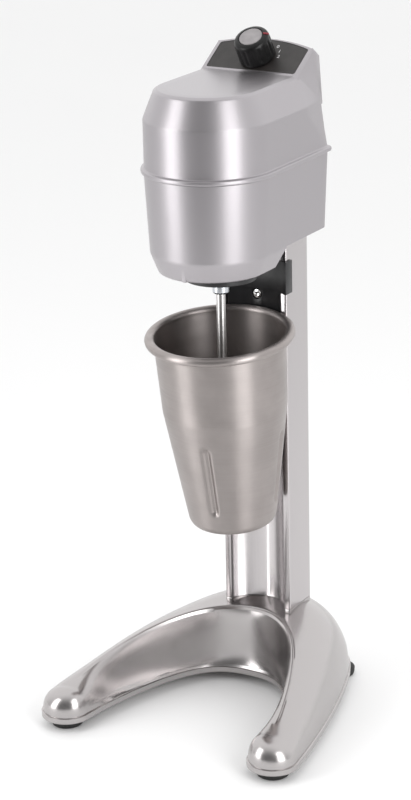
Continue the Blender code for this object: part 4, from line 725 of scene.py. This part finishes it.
STEP_FRONT = 0.010
wedge_side = [(-0.004, -0.02), (0.0, 0.0), (0.008, REAR_FLOOR - HEAD_BOTTOM),
              (HEAD_REAR, REAR_FLOOR - HEAD_BOTTOM), (HEAD_REAR, -0.02)]
wedge = stack([[Vector((x, STEP_FRONT + y, HEAD_BOTTOM + z)) for y, z in wedge_side]
               for x in (-0.08, 0.08)])
lower = combined(lower, wedge, "DIFFERENCE")
lug = bmesh.new()
bmesh.ops.create_cube(lug, size=1.0)
bmesh.ops.scale(lug, vec=(0.0034, 0.0050, 0.0060), verts=lug.verts)
bmesh.ops.bevel(lug, geom=lug.edges[:], offset=0.0007, segments=3, profile=0.5, affect="EDGES", material=-1)
bmesh.ops.translate(lug, vec=(0, FRONT_CENTRE - 0.0372, HEAD_BOTTOM + 0.0032), verts=lug.verts)
lower = combined(lower, lug, "UNION")
piece("head_lower", lower, PAINT, "frame", "head_lower_shell", slot="silver_head", crease=32)


# %% [markdown]
# The upper shell is the same kind of stack, with the bead at its foot. Its last levels rise only a
# little, so the deck is nearly flat. The raised rear that carries the dial is a second stack with
# a slanted top, joined to it by a Boolean union. Its foot is wider than its top and ends inside
# the shell.
#
# %% Upper shell
SHOULDER = SEAM + 0.0355
CROWN = SHOULDER + 0.0193
TOP = CROWN + 0.0018
knob_joint = joints["knob_turn"]
PANEL_SLOPE = math.atan2(knob_joint["axis"][1], -knob_joint["axis"][2])
KNOB_SEAT = Vector(knob_joint["pos_m"]) - Vector((0, SPINDLE_Y, 0))
SLOPE_UP = Vector((0, math.cos(PANEL_SLOPE), math.sin(PANEL_SLOPE)))
PANEL_EDGE = KNOB_SEAT - SLOPE_UP * 0.0138
SLOPE_EDGE = PANEL_EDGE - SLOPE_UP * 0.0024

WALL_RADIUS = 0.0461
BEAD_PROUD = 0.0021
bead_radius = SEAM_RADIUS + BEAD_PROUD
bead_low, bead_high = SEAM - BEAD, SEAM + BEAD
wall_height = SHOULDER - bead_high
cap = head_skin([
    (bead_low, SEAM_RADIUS - 0.003, SEAM_RADIUS - 0.003, BREAK_Y, HEAD_REAR - 0.003, REAR_CROWNING),
    (bead_low, SEAM_RADIUS, SEAM_RADIUS, BREAK_Y, HEAD_REAR, REAR_CROWNING),
    (bead_low + 0.0004, bead_radius, bead_radius, BREAK_Y, HEAD_REAR + BEAD_PROUD, REAR_CROWNING),
    (bead_high - 0.0004, bead_radius, bead_radius, BREAK_Y, HEAD_REAR + BEAD_PROUD, REAR_CROWNING),
    (bead_high + 0.0004, WALL_RADIUS, WALL_RADIUS, BREAK_Y, HEAD_REAR, REAR_CROWNING),
    (bead_high + wall_height * 0.35, WALL_RADIUS, 0.0441, 0.0625, HEAD_REAR, 0.0008),
    (bead_high + wall_height * 0.82, WALL_RADIUS, 0.0421, 0.0455, HEAD_REAR, 0.0012),
    (SHOULDER, WALL_RADIUS, 0.0416, 0.0440, HEAD_REAR, 0.0014),
    (CROWN, 0.0384, 0.0396, 0.0440, HEAD_REAR - 0.001, 0.0030),
    (CROWN + 0.0015, 0.0359, 0.0359, 0.0460, HEAD_REAR - 0.008, 0.0030),
    (TOP, 0.0300, 0.0300, 0.0460, HEAD_REAR - 0.014, 0.0030),
    (TOP, 0.0290, 0.0290, 0.0460, HEAD_REAR - 0.016, 0.0030)], 0.0011)

TOWER_HALF = 0.0386
TOWER_FRONT = 0.030
TOWER_SPREAD = 1.062
REAR_FALL = 0.65
REAR_EDGE = 0.0746
CORNER_EDGE = 0.0690


def slope_height(y):
    return SLOPE_EDGE.z + (y - SLOPE_EDGE.y) * math.tan(PANEL_SLOPE)


def rear_edge(x):
    """Where the slanted top ends and the tower falls away to the rear."""
    return REAR_EDGE - (REAR_EDGE - CORNER_EDGE) * (x / TOWER_HALF) ** 2


def tower_top(point, inset, drop):
    """A point of the tower's outline lifted onto its top, drawn in and lowered to round the edge."""
    x = math.copysign(max(0.0, abs(point.x) - inset), point.x)
    y = min(point.y, rear_edge(x)) - (inset if point.y > rear_edge(x) else 0.0)
    return Vector((x, y, slope_height(y) - drop))


corners = [(TOWER_HALF, TOWER_FRONT), (TOWER_HALF, 0.050), (TOWER_HALF, HEAD_REAR - 0.0012),
           (TOWER_HALF - 0.0012, HEAD_REAR), (TOWER_HALF * 0.5, HEAD_REAR), (0, HEAD_REAR)]
tower_side = divided(rounded(corners, 0.003, 5), 0.003)
tower_outline = tower_side + [Vector((-p.x, p.y)) for p in reversed(tower_side[:-1])]
tower_base = [Vector((p.x * TOWER_SPREAD, min(p.y, HEAD_REAR - 0.0006), SHOULDER - 0.004))
              for p in tower_outline]
tower_wall = [Vector((p.x, p.y, slope_height(min(p.y, rear_edge(p.x))) - 0.0016
                      - max(0.0, p.y - rear_edge(p.x)) * REAR_FALL)) for p in tower_outline]
tower_rings = [tower_base, tower_wall]
for inset, drop in ((0.0001, 0.0010), (0.0005, 0.0004), (0.0012, 0.0)):
    tower_rings.append([tower_top(p, inset, drop) for p in tower_outline])
tower = stack(tower_rings)
cap = combined(cap, tower, "UNION")
print("the slanted top starts at y =", round(SLOPE_EDGE.y, 4), "and height", round(SLOPE_EDGE.z, 4))


# %% [markdown]
# The black panel lies in a shallow recess of the slanted top. Its sides are straight and its rear
# edge bulges. The recess and the panel share one outline, and a fine gap between them.
#
# %% Recess and panel
PANEL_HALF = 0.0350
PANEL_LENGTH = 0.0247
PANEL_BULGE = 0.0065
PANEL_THICKNESS = 0.0015
on_slope = Matrix.Translation(PANEL_EDGE) @ Matrix.Rotation(PANEL_SLOPE, 4, "X")


def panel_outline(grow):
    """The panel seen square on, measured from its front edge."""
    half = PANEL_HALF + grow
    radius = (half ** 2 + PANEL_BULGE ** 2) / (2 * PANEL_BULGE)
    end = math.degrees(math.acos(half / radius))
    rear = arc((0, PANEL_LENGTH + grow + PANEL_BULGE - radius), radius, end, 180 - end, 24)
    return rounded([(half, -grow)] + rear + [(-half, -grow)], 0.0018, 3, closed=True)


def slab(grow, low_z, high_z, edge=0.0002):
    """A flat slab of the panel's outline with a fine bevel round its top."""
    def level(z, more):
        return [Vector((p.x, p.y, z)) for p in panel_outline(grow - more)]
    return stack([level(low_z, 0), level(high_z - edge, 0), level(high_z, edge)])


recess = slab(0.0003, -PANEL_THICKNESS - 0.0003, 0.004)
bmesh.ops.transform(recess, matrix=on_slope, verts=recess.verts)
cap = combined(cap, recess, "DIFFERENCE")
piece("head_upper", cap, PAINT, "frame", "head_upper_shell", slot="silver_head", crease=32)
piece("dial_panel", slab(0.0, -PANEL_THICKNESS, 0.0), PANEL_BLACK, "frame", "control_panel",
      slot="black_plastic", place=on_slope)


# %% [markdown]
# ## The knob
#
# The knob is turned, and then its skirt gets shallow finger flutes: every corner of the mesh
# between two heights moves in by an amount that depends on its angle. The same trick, with a
# different rule, would make a fluted column or a bottle cap.
#
# %% Knob, cap and pointer
KNOB_RADIUS = 0.0130
KNOB_HEIGHT = 0.0186
CAP_RADIUS = 0.0083
FLUTES = 16
FLUTE_DEPTH = 0.00055
POINTER_ANGLE = math.radians(26)
on_knob = Matrix.Translation(KNOB_SEAT) @ Matrix.Rotation(PANEL_SLOPE, 4, "X")

skirt = [(0.0, 0.0172), (0.0072, 0.0172), (CAP_RADIUS + 0.0003, 0.0176), (CAP_RADIUS + 0.0003, KNOB_HEIGHT)]
skirt += [(0.0097, KNOB_HEIGHT), (0.0119, KNOB_HEIGHT - 0.0010), (0.0127, KNOB_HEIGHT - 0.0028)]
skirt += [(0.0129, KNOB_HEIGHT - 0.0046 - i * 0.0011) for i in range(9)]
skirt += [(KNOB_RADIUS, 0.0020), (KNOB_RADIUS, 0.0008), (0.0072, 0.0008), (0.0072, 0.0035), (0.0, 0.0035)]
knob = turned(rounded(skirt, 0.0006, 3), 192)
for vert in knob.verts:
    depth = eased((KNOB_HEIGHT - 0.0022 - vert.co.z) / 0.002) * eased((vert.co.z - 0.0028) / 0.0016)
    reach = math.hypot(vert.co.x, vert.co.y)
    if depth > 0 and reach > 0.0110:
        wave = 0.5 + 0.5 * math.cos(FLUTES * math.atan2(vert.co.y, vert.co.x))
        pull = 1 - FLUTE_DEPTH * depth * wave ** 2 / reach
        vert.co.x *= pull
        vert.co.y *= pull
piece("dial_knob", knob, KNOB_BLACK, "knob", "knob", slot="knob_black", place=on_knob, crease=50)

cap_profile = rounded([(0.0, KNOB_HEIGHT + 0.0003), (CAP_RADIUS - 0.0004, KNOB_HEIGHT + 0.0003),
                       (CAP_RADIUS, KNOB_HEIGHT - 0.0001), (CAP_RADIUS, 0.0181), (0.0, 0.0181)], 0.0004)
piece("dial_cap", turned(cap_profile, 96), KNOB_GREY, "knob", "knob_cap", slot="knob_grey", place=on_knob)

pointer = bmesh.new()
bmesh.ops.create_cube(pointer, size=1.0)
bmesh.ops.scale(pointer, vec=(0.0042, 0.0016, 0.0006), verts=pointer.verts)
bmesh.ops.bevel(pointer, geom=pointer.edges[:], offset=0.0002, segments=2, profile=0.5, affect="EDGES",
                material=-1)
lean = Matrix.Translation((0.0110, 0, KNOB_HEIGHT - 0.0004)) @ Matrix.Rotation(math.radians(24), 4, "Y")
piece("dial_pointer", pointer, POINTER_RED, "knob", slot="knob_grey",
      place=on_knob @ Matrix.Rotation(POINTER_ANGLE, 4, "Z") @ lean)


# %% [markdown]
# Three numbers stand beside the knob, one for each position of the switch. They are text turned
# into a thin mesh, a tenth of a millimetre proud of the panel, like a printed mark.
#
# %% Numbers on the dial
MARK_RADIUS = 0.0158
MARK_ANGLES = {"0": 46, "1": 26, "2": 6}


def number(text, size):
    """The mesh of a small number, centred, with a little thickness."""
    font = bpy.data.curves.new("number", "FONT")
    font.body = text
    font.size = size
    font.align_x = "CENTER"
    font.align_y = "CENTER"
    font.extrude = 0.00005
    guide = bpy.data.objects.new("number", font)
    bpy.context.scene.collection.objects.link(guide)
    graph = bpy.context.evaluated_depsgraph_get()
    mesh = bpy.data.meshes.new_from_object(guide.evaluated_get(graph))
    bpy.data.objects.remove(guide)
    bm = bmesh.new()
    bm.from_mesh(mesh)
    bpy.data.meshes.remove(mesh)
    bmesh.ops.remove_doubles(bm, verts=bm.verts, dist=TINY)
    return bm


for text, degrees in MARK_ANGLES.items():
    angle = math.radians(degrees)
    spot = Matrix.Translation((MARK_RADIUS * math.cos(angle), MARK_RADIUS * math.sin(angle), 0.00006))
    piece("mark_" + text, number(text, 0.0040), MARK_WHITE, "frame", slot="knob_grey", place=on_knob @ spot)


# %% [markdown]
# ## The spindle
#
# A black boss under the head hides the motor's lower bearing. Below it a collar joins the motor's
# shaft to the thin spindle, and the wavy agitator disc is fixed on the spindle's tip.
#
# %% Boss, collar, spindle and agitator
BOSS_BOTTOM = low("spindle_boss").z
BOSS_TOP = HEAD_BOTTOM - 0.0003
BOSS_RADIUS = 0.0260
NECK_RADIUS, NECK_TOP = 0.0105, HEAD_BOTTOM + 0.003
SHAFT_RADIUS = 0.0034
SHAFT_HOLE = 0.0038
boss = rounded([(NECK_RADIUS, NECK_TOP), (NECK_RADIUS, BOSS_TOP), (BOSS_RADIUS, BOSS_TOP),
                (BOSS_RADIUS, BOSS_BOTTOM), (0.0120, BOSS_BOTTOM), (NECK_RADIUS, BOSS_BOTTOM + 0.0008),
                (SHAFT_HOLE, BOSS_BOTTOM + 0.0008), (SHAFT_HOLE, NECK_TOP), (NECK_RADIUS, NECK_TOP)],
               0.0010)
piece("spindle_boss_cover", turned(boss, 128), BLACK_PLASTIC, "frame", "spindle_boss",
      slot="black_plastic")

collar_top, collar_low = high("spindle_coupling").z, low("spindle_coupling").z
collar = rounded([(0.0037, collar_top), (0.0060, collar_top), (0.0060, collar_low + 0.0012),
                  (0.0048, collar_low), (0.0037, collar_low), (0.0037, collar_top)], 0.0005)
piece("spindle_collar", turned(collar, 64), ZINC, "rotor", "spindle_coupling", slot="spindle_steel")

tip = low("spindle_shaft").z
shaft_top = high("spindle_shaft").z
shaft = rounded([(0.0, shaft_top), (SHAFT_RADIUS, shaft_top), (SHAFT_RADIUS, tip + 0.0080),
                 (0.0022, tip + 0.0077), (0.0022, tip), (0.0, tip)], 0.0004)
piece("spindle_rod", turned(shaft, 48), SPINDLE_STEEL, "rotor", "spindle_shaft", slot="spindle_steel")

disc_z = tip + 0.0035
disc = rounded([(0.0025, 0.0038), (0.0045, 0.0038), (0.0060, 0.0008), (0.0100, 0.0014),
                (0.0140, -0.0004), (0.0140, -0.0014), (0.0100, 0.0), (0.0060, -0.0010),
                (0.0025, -0.0010), (0.0025, 0.0038)], 0.0006)
agitator = turned([(point[0], point[1] + disc_z) for point in disc], 96)
for vert in agitator.verts:
    reach = math.hypot(vert.co.x, vert.co.y)
    wave = math.sin(4 * math.atan2(vert.co.y, vert.co.x))
    vert.co.z += 0.0006 * wave * eased((reach - 0.007) / 0.007)
piece("agitator_disc", agitator, SPINDLE_STEEL, "rotor", "agitator", slot="spindle_steel")


# %% [markdown]
# ## The cup
#
# The cup is spun steel: a rolled rim, a slightly tapering upper wall, a knee, and a steeper taper
# down to a small foot ring. Four upright flutes are pressed into the lower wall, which help the
# drink to tumble. The wall is a turned profile, and the flutes are pressed by moving the corners
# inwards, inside and outside alike.
#
# %% Profile of the cup
RIM_RADIUS = high("cup").x
RIM_BEAD = 0.0031
WALL = 0.0009
KNEE_RADIUS, KNEE_DEPTH = 0.0448, 0.057
FOOT_RADIUS, CUP_DEPTH = 0.0305, 0.1463
LIP_WIDTH = 0.0070
bead_circle = RIM_RADIUS - RIM_BEAD
rim_z = high("cup").z - bead_circle * math.sin(CUP_TILT) - RIM_BEAD * (1 - math.cos(CUP_TILT))
rim_y = low("cup").y - SPINDLE_Y + bead_circle * math.cos(CUP_TILT) + RIM_BEAD * (1 - math.sin(CUP_TILT))
print("the rim is centred at y =", round(rim_y, 4), "and height", round(rim_z, 4))

bead = [Vector((RIM_RADIUS + LIP_WIDTH / 2 * (math.cos(t) - 1), RIM_BEAD * (math.sin(t) - 1)))
        for t in (math.radians(165 - 15 * i) for i in range(22))]
inner = [(0.0, 0.0024 - CUP_DEPTH), (FOOT_RADIUS - 0.0045, 0.0024 - CUP_DEPTH),
         (FOOT_RADIUS + 0.0007, 0.0050 - CUP_DEPTH), (KNEE_RADIUS - WALL, -KNEE_DEPTH),
         (RIM_RADIUS - LIP_WIDTH - 0.0003, -0.014), (RIM_RADIUS - LIP_WIDTH + 0.0002, -0.0045)]
outer = [(RIM_RADIUS - LIP_WIDTH + 0.0006, -2 * RIM_BEAD - 0.0006), (KNEE_RADIUS, -KNEE_DEPTH),
         (FOOT_RADIUS + 0.0016, 0.0040 - CUP_DEPTH), (FOOT_RADIUS + 0.0002, 0.0010 - CUP_DEPTH),
         (FOOT_RADIUS - 0.0015, -CUP_DEPTH), (FOOT_RADIUS - 0.0040, 0.0015 - CUP_DEPTH),
         (0.0, 0.0015 - CUP_DEPTH)]


# %% [markdown]
# The long straight stretches are divided before the wall is turned, because a wall can only be
# pressed in where it has corners to move.
#
# %% The cup with its flutes
profile = rounded(inner, 0.0035, 6) + bead + rounded(outer, 0.0016, 5)
cup = turned(divided(profile, 0.0018), 240)
FLUTE_TOP, FLUTE_BOTTOM = 0.072, 0.131
CUP_FLUTE_HALF, CUP_FLUTE_DEPTH = 0.0046, 0.0026
FIRST_FLUTE = math.radians(-90 + 9)
for vert in cup.verts:
    depth = -vert.co.z
    if not FLUTE_TOP < depth < FLUTE_BOTTOM:
        continue
    reach = math.hypot(vert.co.x, vert.co.y)
    turn = math.atan2(vert.co.y, vert.co.x) - FIRST_FLUTE
    turn -= math.pi / 2 * round(turn / (math.pi / 2))
    past_end = max(0.0, FLUTE_TOP + CUP_FLUTE_HALF - depth, depth - FLUTE_BOTTOM + CUP_FLUTE_HALF)
    off = math.hypot(turn * reach, past_end) / CUP_FLUTE_HALF
    if off < 1 and reach > 0.02:
        pull = 1 - CUP_FLUTE_DEPTH * eased(1 - off) / reach
        vert.co.x *= pull
        vert.co.y *= pull
hang = Matrix.Translation((0, rim_y, rim_z)) @ Matrix.Rotation(CUP_TILT, 4, "X")
piece("steel_cup", cup, CUP_STEEL, "cup", "cup", slot="brushed_steel", place=hang, crease=50)


# %% [markdown]
# ## Small fixed parts
#
# The bracket, the hook and a few others already have the right shape, but their edges are too
# sharp. A softened copy is the quickest cure: the part's mesh is copied, its loose triangles are
# merged, flat areas are dissolved back into whole faces, and the sharp edges are bevelled.
#
# %% Softened copies
def softened(node, material, body, width, slot):
    """A copy of a fixed part with its sharp edges bevelled."""
    bm = bmesh.new()
    bm.from_mesh(frame["nodes"][node].data)
    bmesh.ops.remove_doubles(bm, verts=bm.verts, dist=0.00001)
    bmesh.ops.dissolve_limit(bm, angle_limit=math.radians(2), verts=bm.verts, edges=bm.edges)
    sharp = [e for e in bm.edges if len(e.link_faces) == 2 and e.calc_face_angle(0) > math.radians(35)]
    bmesh.ops.bevel(bm, geom=sharp, offset=width, segments=2, profile=0.5, affect="EDGES", material=-1,
                    clamp_overlap=True)
    bmesh.ops.translate(bm, vec=(0, -SPINDLE_Y, 0), verts=bm.verts)
    return piece("soft_" + node, bm, material, body, node, slot=slot)


softened("cup_bracket", BLACK_PLASTIC, "frame", 0.0004, "black_plastic")
softened("cup_hook", BLACK_PLASTIC, "hook", 0.0003, "black_plastic")


# %% [markdown]
# ## Studio
#
# The floor is a pale sheet with painted shade: its colour darkens towards the camera. Two tall
# softboxes stand left and right in front of the mixer, and give the round front its two upright
# bands of light. A pale world, set up below, fills the rest.
#
# %% Floor, lamps and world
def floor_painted_shade():
    """Nearly white, with painted shade that darkens it towards the camera, where only the metal mirrors it."""
    material = new_finish("floor_painted_shade", (0.9, 0.9, 0.9), 0.7)
    vary_roughness(material, noise(material, 3, 2.0), 0.65, 0.75)
    nodes, links = material.node_tree.nodes, material.node_tree.links
    # Painted shade: the base colour falls from 0.9 to 0.22 towards the camera's side of the floor, standing in for
    # the unlit part of the studio.
    where = nodes.new("ShaderNodeTexCoord")
    forward = nodes.new("ShaderNodeVectorMath")
    forward.operation = "DOT_PRODUCT"
    forward.inputs[1].default_value = (0.27, -0.96, 0.0)
    links.new(where.outputs["Object"], forward.inputs[0])
    ramp = nodes.new("ShaderNodeMapRange")
    ramp.interpolation_type = "SMOOTHSTEP"
    for key, value in (("From Min", 0.35), ("From Max", 1.3), ("To Min", 0.9), ("To Max", 0.22)):
        ramp.inputs[key].default_value = value
    links.new(forward.outputs["Value"], ramp.inputs["Value"])
    links.new(ramp.outputs["Result"], nodes["Principled BSDF"].inputs["Base Color"])
    return material


floor = bmesh.new()
bmesh.ops.create_circle(floor, cap_ends=True, radius=14, segments=64)
floor_mesh = bpy.data.meshes.new("floor")
floor.to_mesh(floor_mesh)
floor.free()
floor_mesh.materials.append(floor_painted_shade())
floor_object = bpy.data.objects.new("floor", floor_mesh)
bpy.context.scene.collection.objects.link(floor_object)


def softbox(name, azimuth, distance, width, height, power):
    """An upright rectangular lamp that stands on the floor; azimuth 0 is straight in front."""
    lamp = bpy.data.lights.new(name, "AREA")
    lamp.shape = "RECTANGLE"
    lamp.size, lamp.size_y = width, height
    lamp.energy = power
    holder = bpy.data.objects.new(name, lamp)
    a = math.radians(azimuth)
    back = Vector((math.sin(a), -math.cos(a), 0))
    holder.location = back * distance + Vector((0, 0, height / 2 + 0.02))
    holder.rotation_euler = (-back).to_track_quat("-Z", "Y").to_euler()
    holder.visible_camera = False
    bpy.context.scene.collection.objects.link(holder)


softbox("left_softbox", -37, 1.05, 0.46, 1.10, 6.5)
softbox("right_softbox", 66, 1.05, 0.50, 1.10, 7.5)


# %% [markdown]
# The world is bright overhead and behind the mixer, and darker on the camera's side, as the
# unlit part of a studio is. The dark side is what gives the metal its contrast.
#
# %% World
world = bpy.data.worlds.new("studio")
bpy.context.scene.world = world
world.use_nodes = True
nodes, links = world.node_tree.nodes, world.node_tree.links
nodes["Background"].inputs["Color"].default_value = (1.0, 1.0, 1.0, 1.0)
direction = nodes.new("ShaderNodeTexCoord")
forward = nodes.new("ShaderNodeVectorMath")
forward.operation = "DOT_PRODUCT"
forward.inputs[1].default_value = (0.25, -0.85, -0.45)
links.new(direction.outputs["Generated"], forward.inputs[0])
ramp = nodes.new("ShaderNodeMapRange")
ramp.interpolation_type = "SMOOTHSTEP"
for key, value in (("From Min", -0.55), ("From Max", 0.65), ("To Min", 1.25), ("To Max", 0.22)):
    ramp.inputs[key].default_value = value
links.new(forward.outputs["Value"], ramp.inputs["Value"])
links.new(ramp.outputs["Result"], nodes["Background"].inputs["Strength"])
bpy.context.scene.view_settings.view_transform = "Standard"


# %% [markdown]
# The camera stands in front and to the right, a little above the mixer, and far enough away that
# the upright lines stay nearly parallel. It leans by just over a degree.
#
# %% Camera
AZIMUTH, ELEVATION, LEAN = math.radians(30.89), math.radians(18.86), math.radians(-1.33)
DISTANCE = 1.7923
LENS = 113.2

right = Vector((math.cos(AZIMUTH), math.sin(AZIMUTH), 0))
back = Vector((math.sin(AZIMUTH) * math.cos(ELEVATION), -math.cos(AZIMUTH) * math.cos(ELEVATION),
               math.sin(ELEVATION)))
up = back.cross(right)
target = Vector((0, SPINDLE_Y, 0.23587)) - right * 0.01261
lean_right = right * math.cos(LEAN) + up * math.sin(LEAN)
lean_up = up * math.cos(LEAN) - right * math.sin(LEAN)
camera = bpy.data.cameras.new("camera")
camera.lens = LENS
camera.clip_start = 0.01
viewpoint = bpy.data.objects.new("camera", camera)
viewpoint.matrix_world = Matrix.Translation(target + back * DISTANCE) @ Matrix(
    (lean_right, lean_up, back)).transposed().to_4x4()
bpy.context.scene.collection.objects.link(viewpoint)
bpy.context.scene.camera = viewpoint
print("camera at", [round(value, 3) for value in viewpoint.location])
